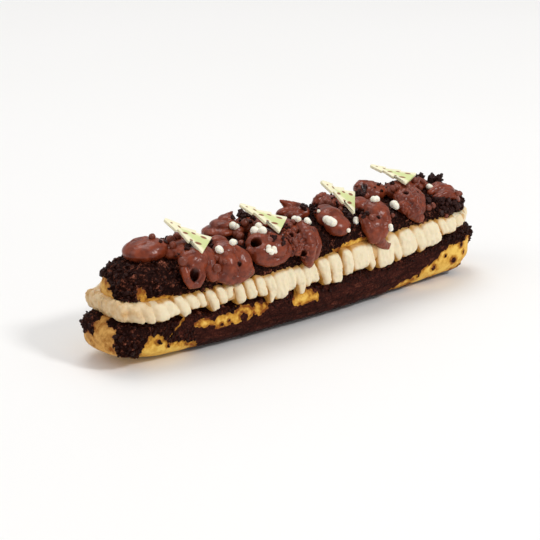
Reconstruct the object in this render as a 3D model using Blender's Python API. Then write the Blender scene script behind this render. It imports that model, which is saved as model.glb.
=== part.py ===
"""Giant chocolate eclair, modelled in metres.

A long choux bun under a cocoa crust is split level. Piped cream fills the split and
folds out over the lower bun. A row of ganache dollops runs along the crown, and four
fir-tree plaques of white chocolate lean on it.

+X runs along the eclair, +Z is up, and the origin is the middle of the flat sole.
"""

import math

import bmesh
import bpy
from mathutils import Matrix, Vector

MM = 0.001

# The bun as a whole: a long spindle with blunt round ends that curl up off the table.
HALF_LENGTH = 160 * MM
HALF_WIDTH = 32 * MM
END_NARROWING = 5 * MM
WAIST = 2.5 * MM              # how much the far half is pinched
WAIST_X = 82 * MM
WAIST_SPAN = 34 * MM
END_LIFT = 3 * MM
NEAR_NARROWING = 3 * MM       # the -X end is narrower, and swings towards -Y
NEAR_SWAY = 3 * MM
NEAR_SWAY_START = 100 * MM
STRAIGHT_SHARE = 0.7          # share of the stations along X that the straight middle takes
CLEARANCE = 0.4 * MM          # left between pieces that touch

# Lower bun
BASE_TOP = 30 * MM
FAR_SWELL = 8.5 * MM          # the lower bun swells up towards its +X end
FAR_SWELL_START = 80 * MM
FAR_SWELL_END = 135 * MM
SOLE_CUT = 0.8 * MM           # how deep the round underside is cut to make the flat sole
BASE_END = 24 * MM
BASE_END_POWER = 3.0          # roundness of the ends, in plan and in height
BASE_SIDE_POWER = 2.8
BASE_STATIONS = 38
BASE_RING = 20
# Lumps of crust at the two ends: (x sign, y, z, height)
CRUST_LUMPS = ((-1, 14 * MM, 19 * MM, 4 * MM), (1, -9 * MM, 26 * MM, 6.5 * MM))
LUMP_RADIUS = 13 * MM

# Upper bun
TOP_HALF_LENGTH = 153 * MM
TOP_SHIFT = 4 * MM            # the upper bun sits a little towards +X
TOP_SOFFIT = 40 * MM
SOFFIT_RISE = 5 * MM          # the filling is thicker in the far half
SOFFIT_RISE_START = -40 * MM
SOFFIT_RISE_END = 60 * MM
TOP_SHOULDER = 5 * MM         # height of the widest line above the soffit
CROWN = 62.5 * MM
CROWN_RISE = 1 * MM
TOP_INSET = 1 * MM
TOP_END = 34 * MM
TOP_END_POWER = 2.3
DOME_POWER = 2.4
TOP_STATIONS = 34
TOP_RING = 20

# Cream: folds about 8 mm wide that slant down over the lower bun
CREAM_HALF_LENGTH = 155 * MM
CREAM_SHIFT = 3 * MM
CREAM_END = 24 * MM
CREAM_STATIONS = 78
CREAM_RING = 20
FOLD_PROUD = 4.2 * MM
VALLEY_PROUD = 2.2 * MM
FOLD_DROP = 5.5 * MM
VALLEY_DROP = 2.5 * MM
FOLD_SLANT = 0.65
CORNER_CLEARANCE = 0.9 * MM   # the folds bend over the lower bun's rounded edge
FOLDED_SHARE = 0.86           # the folds fade out towards both ends
FOLD_FADE = 0.12
FOLD_LEAST = 0.55             # the smallest fold, as a share of the biggest
CREAM_LIP = 1 * MM            # the band swells up round the foot of the upper bun
# How much of its drop a fold has where it turns under, from its tip inwards
HANG_SHARES = {-2: 1.0, -3: 0.45, -4: 0.12}

# Ganache dollops. Each row: x, arc from the crown line (front is negative), half length
# along X, half length along the arc, thickness, droop of the lower edge.
DOLLOPS = {
    "ganache_end": (-117, 1, 15, 14.5, 12, 0),
    "ganache_front_1": (-98, -24, 13.5, 14, 10, 4),
    "ganache_front_2": (-70, -28, 14, 12.5, 9, 3),
    "ganache_front_3": (-40, -28, 15, 11.5, 9, 2),
    "ganache_front_4": (-11, -29, 13, 14, 10, 4),
    "ganache_front_5": (20, -22, 14, 14, 10, 2),
    "ganache_front_6": (53, -26, 13.5, 15, 10, 6),
    "ganache_front_7": (93, -21, 14, 14, 11, 3),
    "ganache_front_8": (132, -13, 13.5, 13, 11, 0),
    "ganache_back_1": (-90, 3, 13, 14, 9.5, 0),
    "ganache_back_2": (-51, 9, 13, 14, 8.5, 0),
    "ganache_back_3": (-25, 5, 14, 14, 7.5, 0),
    "ganache_back_4": (12, 10, 15, 14, 9, 0),
    "ganache_back_5": (46, 11, 13, 14, 9.5, 0),
    "ganache_back_6": (83, 10, 14, 14, 11, 0),
    "ganache_back_7": (108, 4, 13, 14, 10, 0),
}
DOLLOP_SEGMENTS = 16
DOLLOP_RINGS = 8
DOLLOP_FOOT = 0.35            # share of the ball that is pressed flat on the crust
FOOT_CLEARANCE = 0.7 * MM     # the flat facets of foot and dome bridge over their curves
SWIRL_DEPTH = 0.07            # the piped rope winds round as a ridge this deep
SWIRL_TURNS = 1.5
TIP_RISE = 1.8 * MM           # little peak where the nozzle pulled away
TIP_SHARPNESS = 8
FULL_DROOP = 4 * MM           # a dollop that droops this far is at its narrowest below
DROOP_NARROWING = 0.25
NEIGHBOUR_REACH = 45 * MM     # dollops closer than this may touch
ARC_STEPS = 90

# Fir-tree plaques. Each row: middle of the foot x, y, z, then the way the tip points
# x, y, z, and how far the plaque is rolled about that way, in degrees.
PLAQUES = {
    "tree_1": ((-84.5, -23.0, 68.8), (-17.6, 18.8, 15.8), 18),
    "tree_2": ((-21.5, -22.5, 69.8), (-19.0, 21.6, 12.7), 15),
    "tree_3": ((44.5, -18.3, 72.0), (-28.0, 6.0, 20.6), 44),
    "tree_4": ((109.5, -9.0, 75.2), (-11.0, 23.5, 5.0), 7),
}
PLAQUE_LENGTH = 32 * MM
PLAQUE_WIDTH = 20 * MM
PLAQUE_THICKNESS = 2.2 * MM
PLAQUE_BEVEL = 0.4 * MM
PLAQUE_TIERS = 3
TIER_OVERHANG = 1.6 * MM      # each tier's foot stands out past the tip of the tier below
PLAQUE_TIP = 2.4 * MM         # width left at the tip
PLAQUE_REACH = 17 * MM        # dollops this near a plaque are pressed down by it


def make_material(name, color, roughness):
    """A plain Principled finish for one foodstuff."""
    material = bpy.data.materials.new(name)
    material.use_nodes = True
    shader = material.node_tree.nodes["Principled BSDF"]
    shader.inputs["Base Color"].default_value = (*color, 1.0)
    shader.inputs["Roughness"].default_value = roughness
    shader.inputs["Metallic"].default_value = 0.0
    return material


def add_piece(name, bm, material):
    """Turn a finished bmesh into a smooth shaded object of its own."""
    bmesh.ops.recalc_face_normals(bm, faces=bm.faces)
    bmesh.ops.triangulate(bm, faces=[face for face in bm.faces if len(face.verts) > 4])
    mesh = bpy.data.meshes.new(name)
    bm.to_mesh(mesh)
    bm.free()
    mesh.shade_smooth()
    mesh.set_sharp_from_angle(angle=math.radians(40))
    mesh.materials.append(material)
    piece = bpy.data.objects.new(name, mesh)
    bpy.context.scene.collection.objects.link(piece)
    return piece


def signed_power(value, power):
    """Power of the size of a number, keeping its sign."""
    return math.copysign(abs(value) ** power, value)


def smooth(low, high, value):
    """0 below low, 1 above high, and a smooth step between."""
    part = max(0.0, min(1.0, (value - low) / (high - low)))
    return part * part * (3.0 - 2.0 * part)


def end_lift(x):
    """How far the curl of the ends raises the bun at x."""
    return END_LIFT * min(1.0, abs(x) / HALF_LENGTH) ** 3


def mid_half_width(x):
    """Half width of the bar at x, before its ends are rounded."""
    taper = END_NARROWING * (abs(x) / HALF_LENGTH) ** 1.5
    pinch = WAIST * math.exp(-((x - WAIST_X) / WAIST_SPAN) ** 2)
    near = NEAR_NARROWING * smooth(NEAR_SWAY_START, HALF_LENGTH, -x)
    return HALF_WIDTH - taper - pinch - near


def sway(x):
    """Y of the bar's middle line at x."""
    return -NEAR_SWAY * smooth(NEAR_SWAY_START, HALF_LENGTH, -x)


def end_factor(x, half_length, end, power):
    """1 along the straight middle, falling to 0 at the tip on a superellipse."""
    reach = (abs(x) - (half_length - end)) / end
    if reach <= 0.0:
        return 1.0
    return max(0.0, 1.0 - min(1.0, reach) ** power) ** (1.0 / power)


def base_top(x):
    """Height of the lower bun's top at x."""
    return BASE_TOP + end_lift(x) + FAR_SWELL * smooth(FAR_SWELL_START, FAR_SWELL_END, x)


def soffit(x):
    """Height of the upper bun's flat underside at x."""
    rise = SOFFIT_RISE * smooth(SOFFIT_RISE_START, SOFFIT_RISE_END, x)
    return TOP_SOFFIT + end_lift(x) + rise


def crown(x):
    """Height of the upper bun's crown line at x."""
    return CROWN + CROWN_RISE * (x / HALF_LENGTH + 1.0) / 2.0


def base_section(x):
    """Half width, middle height and half height of the lower bun at x."""
    low = end_lift(x) - SOLE_CUT
    high = base_top(x)
    width = mid_half_width(x) * end_factor(x, HALF_LENGTH, BASE_END, BASE_END_POWER)
    height = (high - low) / 2.0 * end_factor(x, HALF_LENGTH, BASE_END, BASE_END_POWER)
    return width, (high + low) / 2.0, height


def top_section(x):
    """Half width, shoulder height, dome height and soffit depth of the upper bun at x."""
    rounding = end_factor(x - TOP_SHIFT, TOP_HALF_LENGTH, TOP_END, TOP_END_POWER)
    width = (mid_half_width(x) - TOP_INSET) * rounding
    shoulder = soffit(x) + TOP_SHOULDER
    return width, shoulder, (crown(x) - shoulder) * rounding, TOP_SHOULDER * rounding


def station(share, half_length, end):
    """X of a ring, from its share -1 to 1 of the way along; the ends get closer rings."""
    size = abs(share)
    straight = half_length - end
    if size <= STRAIGHT_SHARE:
        reach = straight * size / STRAIGHT_SHARE
    else:
        turn = (size - STRAIGHT_SHARE) / (1.0 - STRAIGHT_SHARE) * math.pi / 2.0
        reach = straight + end * math.sin(turn)
    return math.copysign(reach, share)


def ball_along_x(ring, stations):
    """A unit ball with its poles on X, to be drawn out into a bar."""
    bm = bmesh.new()
    bmesh.ops.create_uvsphere(bm, u_segments=ring, v_segments=stations, radius=1.0)
    quarter = Matrix.Rotation(math.pi / 2.0, 3, "Y")
    bmesh.ops.rotate(bm, verts=bm.verts, cent=(0, 0, 0), matrix=quarter)
    return bm


def ring_share(co):
    """How far along the bar a point of the unit ball belongs, from -1 to 1."""
    return math.asin(max(-1.0, min(1.0, co.x))) / (math.pi / 2.0)


def make_base(material):
    """Lower bun: a boxy bar with a flat sole and a lump of crust at each end."""
    bm = ball_along_x(BASE_RING, BASE_STATIONS)
    for vert in bm.verts:
        x = station(ring_share(vert.co), HALF_LENGTH, BASE_END)
        angle = math.atan2(vert.co.z, vert.co.y)
        width, middle, height = base_section(x)
        power = 2.0 / BASE_SIDE_POWER
        y = sway(x) + width * signed_power(math.cos(angle), power)
        z = middle + height * signed_power(math.sin(angle), power)
        for side, lump_y, lump_z, rise in CRUST_LUMPS:
            centre = Vector((side * HALF_LENGTH, lump_y, lump_z))
            distance = (Vector((x, y, z)) - centre).length / LUMP_RADIUS
            if distance < 1.0:
                x += side * rise * (1.0 - distance * distance) ** 2
        vert.co = (x, y, z)
    cut = bmesh.ops.bisect_plane(
        bm, geom=bm.verts[:] + bm.edges[:] + bm.faces[:], dist=1e-6,
        plane_co=(0, 0, 0), plane_no=(0, 0, -1), clear_outer=True)
    sole = [edge for edge in cut["geom_cut"] if isinstance(edge, bmesh.types.BMEdge)]
    bmesh.ops.contextual_create(bm, geom=sole)
    return add_piece("choux_base", bm, material)


def make_top(material):
    """Upper bun: a flat soffit, a soft shoulder and a long dome."""
    bm = ball_along_x(TOP_RING, TOP_STATIONS)
    for vert in bm.verts:
        x = TOP_SHIFT + station(ring_share(vert.co), TOP_HALF_LENGTH, TOP_END)
        angle = math.atan2(vert.co.z, vert.co.y)
        width, shoulder, dome, depth = top_section(x)
        upper = vert.co.z > 0.0
        power = 2.0 / (DOME_POWER if upper else BASE_SIDE_POWER)
        rise = signed_power(math.sin(angle), power) * (dome if upper else depth)
        y = sway(x) + width * signed_power(math.cos(angle), power)
        vert.co = (x, y, shoulder + rise)
    return add_piece("choux_top", bm, material)


def over_base(x, drop):
    """Point (y, z) just outside the lower bun, a given drop below its top edge."""
    width, middle, height = base_section(x)
    level = max(0.0, 1.0 - drop / height)
    reach = (1.0 - level ** BASE_SIDE_POWER) ** (1.0 / BASE_SIDE_POWER)
    return width * reach + CORNER_CLEARANCE, middle + height * level + CORNER_CLEARANCE


def cream_profile(x, slot, proud, drop, fade):
    """Point (y, z) of the cream's outline; slot runs from 5, top centre, to -5.

    Where fade is 1 the folds hang over the lower bun; at the ends, where it is 0, the
    band is flat underneath.
    """
    plan = end_factor(x - CREAM_SHIFT, CREAM_HALF_LENGTH, CREAM_END, BASE_END_POWER)
    width = mid_half_width(x)
    roof = soffit(x) - CLEARANCE
    floor = base_top(x)
    tall = roof - floor
    outline = {
        5: (0.0, roof),
        4: (width * 0.78, roof),
        3: (width + 0.2 * proud, roof + CREAM_LIP),
        2: (width + 0.8 * proud, roof - 0.2 * tall),
        1: (width + proud, roof - 0.5 * tall),
        0: (width + proud, floor + 0.15 * tall - 0.3 * drop * fade),
        -1: (width + 0.8 * proud, floor - drop * fade),
        -2: (width * 0.9, floor + CLEARANCE),
        -3: (width * 0.75, floor + CLEARANCE),
        -4: (width * 0.5, floor + CLEARANCE),
        -5: (0.0, floor + CLEARANCE),
    }
    y, z = outline[slot]
    y *= plan
    if fade > 0.0 and slot in HANG_SHARES:
        hung_y, hung_z = over_base(x, drop * HANG_SHARES[slot])
        y += (hung_y - y) * fade
        z += (hung_z - z) * fade
    return y, z


def make_cream(material):
    """Filling: a flat band whose edges are folds that slant over the lower bun."""
    bm = ball_along_x(CREAM_RING, CREAM_STATIONS)
    for vert in bm.verts:
        share = ring_share(vert.co)
        x = CREAM_SHIFT + station(share, CREAM_HALF_LENGTH, CREAM_END)
        index = round((share + 1.0) / 2.0 * CREAM_STATIONS)
        fade = smooth(0.0, FOLD_FADE, FOLDED_SHARE - abs(share))
        size = 0.5 + 0.5 * math.sin(2.3 * index) * math.cos(0.9 * index)
        fold = fade * (index % 2) * (FOLD_LEAST + (1.0 - FOLD_LEAST) * size)
        proud = VALLEY_PROUD + (FOLD_PROUD - VALLEY_PROUD) * fold
        drop = VALLEY_DROP + (FOLD_DROP - VALLEY_DROP) * fold
        tilt = math.atan2(vert.co.z, abs(vert.co.y))
        slot = round(tilt / (2.0 * math.pi / CREAM_RING))
        y, z = cream_profile(x, slot, proud, drop, fade)
        side = math.copysign(1.0, vert.co.y) if abs(slot) < 5 else 0.0
        lean = 0.0
        if -2 < slot < 4:
            middle = (soffit(x) + base_top(x)) / 2.0
            lean = side * fade * FOLD_SLANT * (middle - z)
        vert.co = (x - lean, sway(x) + side * y, z)
    return add_piece("cream_filling", bm, material)


def crown_arc(x):
    """Angles at even arc lengths from the crown line down one side of the dome at x."""
    width, _, dome, _ = top_section(x)
    power = 2.0 / DOME_POWER
    lengths = [0.0]
    last = (0.0, dome)
    for step in range(1, ARC_STEPS + 1):
        angle = math.pi / 2.0 * step / ARC_STEPS
        point = (width * math.sin(angle) ** power, dome * max(0.0, math.cos(angle)) ** power)
        lengths.append(lengths[-1] + math.dist(point, last))
        last = point
    return lengths


def arc_angle(lengths, arc):
    """Angle from the crown line at an arc length, by interpolation."""
    for step in range(1, len(lengths)):
        if lengths[step] >= arc:
            part = (arc - lengths[step - 1]) / (lengths[step] - lengths[step - 1])
            return math.pi / 2.0 * (step - 1 + part) / ARC_STEPS
    return math.pi / 2.0


def on_dome(x, angle, side, offset):
    """Point at an angle from the crown line, a distance off the dome along its normal."""
    width, shoulder, dome, _ = top_section(x)
    power = 2.0 / DOME_POWER
    sine, cosine = math.sin(angle), max(0.0, math.cos(angle))
    y = width * sine ** power
    z = dome * cosine ** power
    normal = Vector((0.0, (y / width) ** (DOME_POWER - 1.0) / width,
                     (z / dome) ** (DOME_POWER - 1.0) / dome)).normalized()
    y = sway(x) + side * (y + offset * normal.y)
    return Vector((x, y, shoulder + z + offset * normal.z))


def dollop_mesh(x, arc, half_x, half_arc, thickness, droop):
    """A ball of ganache pressed on the dome, its lower edge drooping."""
    lengths = crown_arc(x)
    bm = bmesh.new()
    bmesh.ops.create_uvsphere(
        bm, u_segments=DOLLOP_SEGMENTS, v_segments=DOLLOP_RINGS, radius=1.0)
    for vert in bm.verts:
        along, down, up = vert.co
        wind = math.atan2(down, along) + 2.0 * math.pi * SWIRL_TURNS * up
        ripple = 1.0 + SWIRL_DEPTH * (1.0 - up * up) * math.sin(wind)
        along, down = along * ripple, down * ripple
        slump = max(0.0, -down) ** 2
        reach = arc + down * half_arc - slump * droop
        half = half_x * (1.0 - DROOP_NARROWING * slump * min(1.0, droop / FULL_DROOP))
        lift = (max(up, -DOLLOP_FOOT) + DOLLOP_FOOT) / (1.0 + DOLLOP_FOOT)
        side = math.copysign(1.0, reach)
        angle = arc_angle(lengths, abs(reach))
        height = lift * thickness + TIP_RISE * max(0.0, up) ** TIP_SHARPNESS
        vert.co = on_dome(x + along * half, angle, side, FOOT_CLEARANCE + height)
    bmesh.ops.remove_doubles(bm, verts=bm.verts, dist=0.01 * MM)
    return bm


def trim(bm, point, normal):
    """Cut away what lies beyond a plane and close the cut."""
    if all((vert.co - point).dot(normal) < 0.0 for vert in bm.verts):
        return
    cut = bmesh.ops.bisect_plane(
        bm, geom=bm.verts[:] + bm.edges[:] + bm.faces[:], dist=1e-6,
        plane_co=point, plane_no=normal, clear_outer=True)
    rim = [edge for edge in cut["geom_cut"] if isinstance(edge, bmesh.types.BMEdge)]
    bmesh.ops.contextual_create(bm, geom=rim)


def dollop_centre(row):
    """Where a dollop's middle lies on the dome."""
    x, arc = row[0] * MM, row[1] * MM
    angle = arc_angle(crown_arc(x), abs(arc))
    return on_dome(x, angle, math.copysign(1.0, arc), row[4] * MM / 2.0)


def plaque_frame(row):
    """Foot point and the along, across and upward directions of a plaque."""
    foot = Vector(row[0]) * MM
    along = Vector(row[1]).normalized()
    level = along.cross(Vector((0.0, 0.0, 1.0))).normalized()
    across = Matrix.Rotation(math.radians(-row[2]), 3, along) @ level
    return foot, along, across, across.cross(along).normalized()


def make_dollops(material):
    """Row of dollops, flattened where two meet and where a plaque lies on them."""
    centres = {name: dollop_centre(row) for name, row in DOLLOPS.items()}
    for name, row in DOLLOPS.items():
        x, arc, half_x, half_arc, thickness, droop = (value * MM for value in row)
        bm = dollop_mesh(x, arc, half_x, half_arc, thickness, droop)
        for other, centre in centres.items():
            apart = centre - centres[name]
            if other == name or apart.length > NEIGHBOUR_REACH:
                continue
            size, other_size = row[2] + row[3], DOLLOPS[other][2] + DOLLOPS[other][3]
            normal = apart.normalized()
            reach = apart.length * size / (size + other_size) - CLEARANCE / 2.0
            trim(bm, centres[name] + normal * reach, normal)
        for plaque in PLAQUES.values():
            foot, along, _, upward = plaque_frame(plaque)
            middle = foot + along * PLAQUE_LENGTH / 2.0
            near = (middle - centres[name]).length < PLAQUE_REACH + half_x
            if near and (centres[name] - foot).dot(upward) < 0.0:
                trim(bm, foot - upward * CLEARANCE, upward)
        add_piece(name, bm, material)


def plaque_outline():
    """(reach, half width) pairs of the stepped outline, from the foot to the tip."""
    tier = PLAQUE_LENGTH / PLAQUE_TIERS
    slope = (PLAQUE_WIDTH - PLAQUE_TIP) / 2.0 / PLAQUE_TIERS
    levels = []
    for step in range(PLAQUE_TIERS):
        low = PLAQUE_WIDTH / 2.0 - step * slope
        inset = 0.0 if step == PLAQUE_TIERS - 1 else TIER_OVERHANG
        levels.append((step * tier, low))
        levels.append(((step + 1) * tier, low - slope - inset))
    return levels


def make_plaque(name, row, material):
    """Fir tree cut from a thin sheet of white chocolate."""
    foot, along, across, upward = plaque_frame(row)
    levels = plaque_outline()
    outline = [(-half, reach) for reach, half in reversed(levels)]
    outline += [(half, reach) for reach, half in levels]
    bm = bmesh.new()
    verts = [bm.verts.new(foot + across * side + along * reach) for side, reach in outline]
    face = bm.faces.new(verts)
    slab = bmesh.ops.extrude_face_region(bm, geom=[face])
    lifted = [item for item in slab["geom"] if isinstance(item, bmesh.types.BMVert)]
    bmesh.ops.translate(bm, verts=lifted, vec=upward * PLAQUE_THICKNESS)
    bmesh.ops.recalc_face_normals(bm, faces=bm.faces)
    rims = [edge for edge in bm.edges
            if abs((edge.verts[0].co - edge.verts[1].co).normalized().dot(upward)) < 0.5]
    bmesh.ops.bevel(bm, geom=rims, offset=PLAQUE_BEVEL, segments=1, profile=0.5,
                    affect="EDGES", material=-1)
    return add_piece(name, bm, material)


def main():
    """Clear the scene and build every piece of the eclair."""
    for old in list(bpy.data.objects):
        bpy.data.objects.remove(old, do_unlink=True)
    choux = make_material("choux with cocoa crust", (0.022, 0.007, 0.004), 0.85)
    cream = make_material("pastry cream", (0.86, 0.70, 0.44), 0.5)
    ganache = make_material("whipped chocolate ganache", (0.12, 0.035, 0.018), 0.35)
    white = make_material("white chocolate", (0.78, 0.80, 0.40), 0.45)
    make_base(choux)
    make_cream(cream)
    make_top(choux)
    make_dollops(ganache)
    for name, row in PLAQUES.items():
        make_plaque(name, row, white)


main()
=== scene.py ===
"""Looks of a giant chocolate eclair, laid out as a Blender add-on.

The bun is choux under a baked cocoa crust, split level and filled with piped cream. Whipped
ganache is piped in dollops along the crown, with crispies and fir-tree plaques of white
chocolate on it. Lengths are in metres, +X runs along the eclair and +Z is up.
"""

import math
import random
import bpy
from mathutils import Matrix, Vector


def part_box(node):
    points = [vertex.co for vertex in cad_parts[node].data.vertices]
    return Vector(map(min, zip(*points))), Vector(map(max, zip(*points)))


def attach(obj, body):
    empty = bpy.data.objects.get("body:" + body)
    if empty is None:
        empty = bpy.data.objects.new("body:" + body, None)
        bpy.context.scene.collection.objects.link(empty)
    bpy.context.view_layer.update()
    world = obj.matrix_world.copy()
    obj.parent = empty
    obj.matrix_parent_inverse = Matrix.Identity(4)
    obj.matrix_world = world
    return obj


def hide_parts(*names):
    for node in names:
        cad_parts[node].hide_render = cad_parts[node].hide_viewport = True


bl_info = {
    "name": "Chocolate Eclair",
    "version": (1, 0, 0),
    "blender": (4, 5, 0),
    "location": "3D View > Sidebar > Eclair",
    "description": "Builds a filled chocolate eclair with ganache dollops and plaques",
    "category": "Add Mesh",
}

from functools import partial

import bmesh
import bpy
from mathutils import Matrix, Vector, noise
from mathutils.bvhtree import BVHTree

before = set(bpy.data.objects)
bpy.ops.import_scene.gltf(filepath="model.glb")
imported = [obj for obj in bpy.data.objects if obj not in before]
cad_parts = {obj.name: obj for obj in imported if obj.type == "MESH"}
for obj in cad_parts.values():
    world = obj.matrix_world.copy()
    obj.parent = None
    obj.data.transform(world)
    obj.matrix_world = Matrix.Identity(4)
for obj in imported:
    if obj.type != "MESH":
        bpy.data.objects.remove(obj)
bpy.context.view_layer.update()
MM = 0.001

BASE_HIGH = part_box("choux_base")[1]
TOP_LOW, TOP_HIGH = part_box("choux_top")

# The bun as a whole: a long bar with blunt round ends that curl up off the table, a slight
# waist towards the far end, and a near end that is narrower and swings to the front
HALF_LENGTH = 160 * MM
HALF_WIDTH = BASE_HIGH.y
END_NARROWING = 5 * MM
WAIST = 2.5 * MM
WAIST_X = 82 * MM
WAIST_SPAN = 34 * MM
END_LIFT = 3 * MM
NEAR_NARROWING = 3 * MM
NEAR_SWAY = 3 * MM
NEAR_SWAY_START = 100 * MM

# Lower bun
BASE_TOP = 30 * MM
FAR_SWELL = 8.5 * MM
FAR_SWELL_START = 80 * MM
FAR_SWELL_END = 135 * MM
SOLE_CUT = 0.8 * MM
BASE_END = 24 * MM
BASE_END_POWER = 3.0
BASE_SIDE_POWER = 2.8

# Upper bun
TOP_HALF_LENGTH = (TOP_HIGH.x - TOP_LOW.x) / 2.0
TOP_SHIFT = (TOP_HIGH.x + TOP_LOW.x) / 2.0
TOP_SOFFIT = 40 * MM
SOFFIT_RISE = 5 * MM
SOFFIT_RISE_START = -40 * MM
SOFFIT_RISE_END = 60 * MM
TOP_SHOULDER = 5 * MM
CROWN = 62.5 * MM
CROWN_RISE = 1 * MM
TOP_INSET = 1 * MM
TOP_END = 34 * MM
TOP_END_POWER = 2.3
DOME_POWER = 2.4
ARC_STEPS = 90
# How far the foot of its near end sags, from where to where along it, in mm
NEAR_SAG = 3.2
SAG_START, SAG_END = 100.0, 146.0

# Filling
CREAM_HALF_LENGTH = 152.5 * MM
CREAM_SHIFT = 1.5 * MM
CREAM_END = 24 * MM
CREAM_STATIONS = 220
CREAM_RING = 24
CREAM_VOXEL = 0.52 * MM
# The back's folds are the front's, turned end for end: x becomes this less x, in mm.
FOLD_TURN = 4.0
# Plain cream round each end: which end, the first and last roll's x, and how far the rolls
# stand out, in mm
END_ROLLS = ((-1.0, 138, 149, 2.2), (1.0, 138, 151, 1.6))
ROLLS_PER_END = 8
CAP_ROLLS = 5
# The band behind the folds gets as much painted shade as a deep crease, from 0 to 1.
BAND_SHADE = 0.75

# The bun's dense meshes: rings along it, points round it, and how finely its outline is
# measured to spread them
BUN_STATIONS = 470
BUN_RING = 210
OUTLINE_STEPS = 2880
# Points lie close together outside this y on the lower bun and above this height from the
# shoulder on the upper one, which is where the crust shows.
BASE_FINE_Y = 27 * MM
TOP_FINE_Z = -4 * MM

# Loose crumbs on the crust: how many on each half and the seed of their places, how many
# are added to the joined piece at a time, the share of them that are big, and how big
LOOSE_CRUMBS = {"lower_bun": (1500, 12), "upper_bun": (3300, 34)}
CRUMB_BATCH = 60
BIG_CRUMBS = 0.05
BIG_CRUMB = 1.55
# How far the corners of a loose crumb are knocked out of round, as a share of its size
CRUMB_CHIP = 0.35

# Where golden choux shows through the crust of the lower bun's front. Each row: x, z,
# half length, half height, in mm, and the slope of the patch.
BASE_PATCHES = (
    (-131, 7, 10.5, 14, 0.0), (-118, 5, 21, 8.5, 0.0),
    (-91, 20, 8, 2.2, -0.1), (-76, 18.5, 9, 4.2, 0.1), (-62, 19.5, 11, 4.8, 0.05),
    (-49, 20, 8, 3.6, 0.1), (-12, 19.5, 9, 5.0, 0.05), (-4, 19, 6, 3.2, 0.0),
    (88, 7, 20, 2.6, 0.15), (112, 10, 20, 7.5, 0.3), (132, 15, 18, 12, 0.25),
    (149, 19, 9, 11, 0.1),
)
# Spots of crust stuck on those patches: x, z and radius, in mm
BASE_SPOTS = (
    (-61, 17.5, 3.0), (-79, 16.5, 1.2), (-73, 18, 1.0), (-128, 16, 1.6), (-121, 12, 1.2),
    (114, 13, 1.8), (134, 15, 2.2), (126, 20, 1.0), (144, 19, 1.2), (141, 25, 1.6),
    (100, 10.5, 1.2),
)
# The back of the lower bun shows the same patches, turned end for end: x becomes this less x.
PATCH_TURN = 12.0
# Where choux shows through the crust of the upper bun's front: x, z, half length and half
# height in mm
TOP_PATCHES = ((-136.0, 46.0, 2.4, 7.0), (-127.0, 43.0, 10.0, 3.4), (37.0, 47.0, 18.0, 4.6))
# Lumps of crust baked on at the two ends: x, y, z and radius in mm, and how far they rise
CRUST_CLODS = ((-155, 6, 27, 11, 2.0), (158, -9, 27, 13, 6.5))


def srgb(code):
    """Linear colour of an sRGB hex value."""
    values = [int(code[i:i + 2], 16) / 255.0 for i in (1, 3, 5)]
    return tuple(v / 12.92 if v <= 0.04045 else ((v + 0.055) / 1.055) ** 2.4 for v in values)


def colour(name, description, code):
    """A colour property whose default is an sRGB hex value."""
    return bpy.props.FloatVectorProperty(
        name=name, description=description, subtype="COLOR", size=3, min=0.0, max=1.0,
        default=srgb(code))


def length(name, description, millimetres):
    """A length property whose default is given in millimetres."""
    return bpy.props.FloatProperty(
        name=name, description=description, subtype="DISTANCE", unit="LENGTH", precision=5,
        min=0.0, default=millimetres * MM)


# ---------------------------------------------------------------- settings

class EclairBunSettings(bpy.types.PropertyGroup):
    """Sizes and colours of the choux bun and its cocoa crust."""

    crust_thickness: length("Crust thickness", "How far the crust stands on the choux", 0.9)
    crumb: length("Crust crumb", "Size of the crust's coarse lumps", 2.8)
    grain: length("Crust grain", "Size of the crust's fine grain", 1.2)
    # The dark crust colour is painted shade in the cracks between crumbs, and also the tone of
    # the pulled layers. The light one is a painted highlight on the tallest crumbs.
    crust_dark: colour("Crust, dark", "Cocoa crust in its hollows", "#0b0100")
    crust_mid: colour("Crust", "Cocoa crust", "#220702")
    crust_highlight: colour("Crust, light", "Sugar and flour specks in the crust", "#7a4432")
    crust_low: colour("Crust, low", "Crust on the side of the lower bun", "#4a2018")
    choux_dark: colour("Choux, dark", "Choux where it browned most", "#8a4a1c")
    choux_baked: colour("Choux, baked", "Choux on the near end", "#d49c58")
    choux_mid: colour("Choux", "Baked choux", "#d39a3c")
    choux_light: colour("Choux, light", "Choux where it is palest", "#f2c865")


class EclairCreamSettings(bpy.types.PropertyGroup):
    """Sizes and colours of the piped cream."""

    proud: length("Fold bulge", "How far the folds stand out past the bun", 4.2)
    light: colour("Cream", "Pastry cream on the folds", "#efe0be")
    # The crease colour is painted shade. It lies in the creases, on the band behind the folds
    # and on faces turned to the near end.
    shade: colour("Cream, crease", "Pastry cream down in the creases", "#c9923f")


class EclairGanacheSettings(bpy.types.PropertyGroup):
    """Sizes and colours of the ganache."""

    voxel: length("Blend size", "How finely piped strokes run together", 0.45)
    # The dark colour is the darker tone of the streaks, and scaled down it is the painted shade
    # in folds and hollows.
    dark: colour("Ganache, dark", "Ganache in its hollows", "#5c200f")
    light: colour("Ganache", "Whipped ganache", "#8f3f23")


class EclairToppingSettings(bpy.types.PropertyGroup):
    """Sizes and colours of the plaques, crispies and crumbs."""

    border: colour("Plaque border", "White chocolate at the plaque's edge", "#f4eecb")
    centre: colour("Plaque centre", "Tinted white chocolate", "#d5dd9c")
    dash: colour("Plaque dashes", "Printed cocoa butter", "#8d5534")
    white: colour("White crispies", "White chocolate crispies", "#fcf6e4")
    brown: colour("Brown crispies", "Milk chocolate crispies", "#7c3a26")
    crumb: colour("Crumbs", "Crumbs of cocoa crust", "#260e0a")


# ---------------------------------------------------------------- shape of the bun

def signed_power(value, power):
    """Power of the size of a number, keeping its sign."""
    return math.copysign(abs(value) ** power, value)


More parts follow.
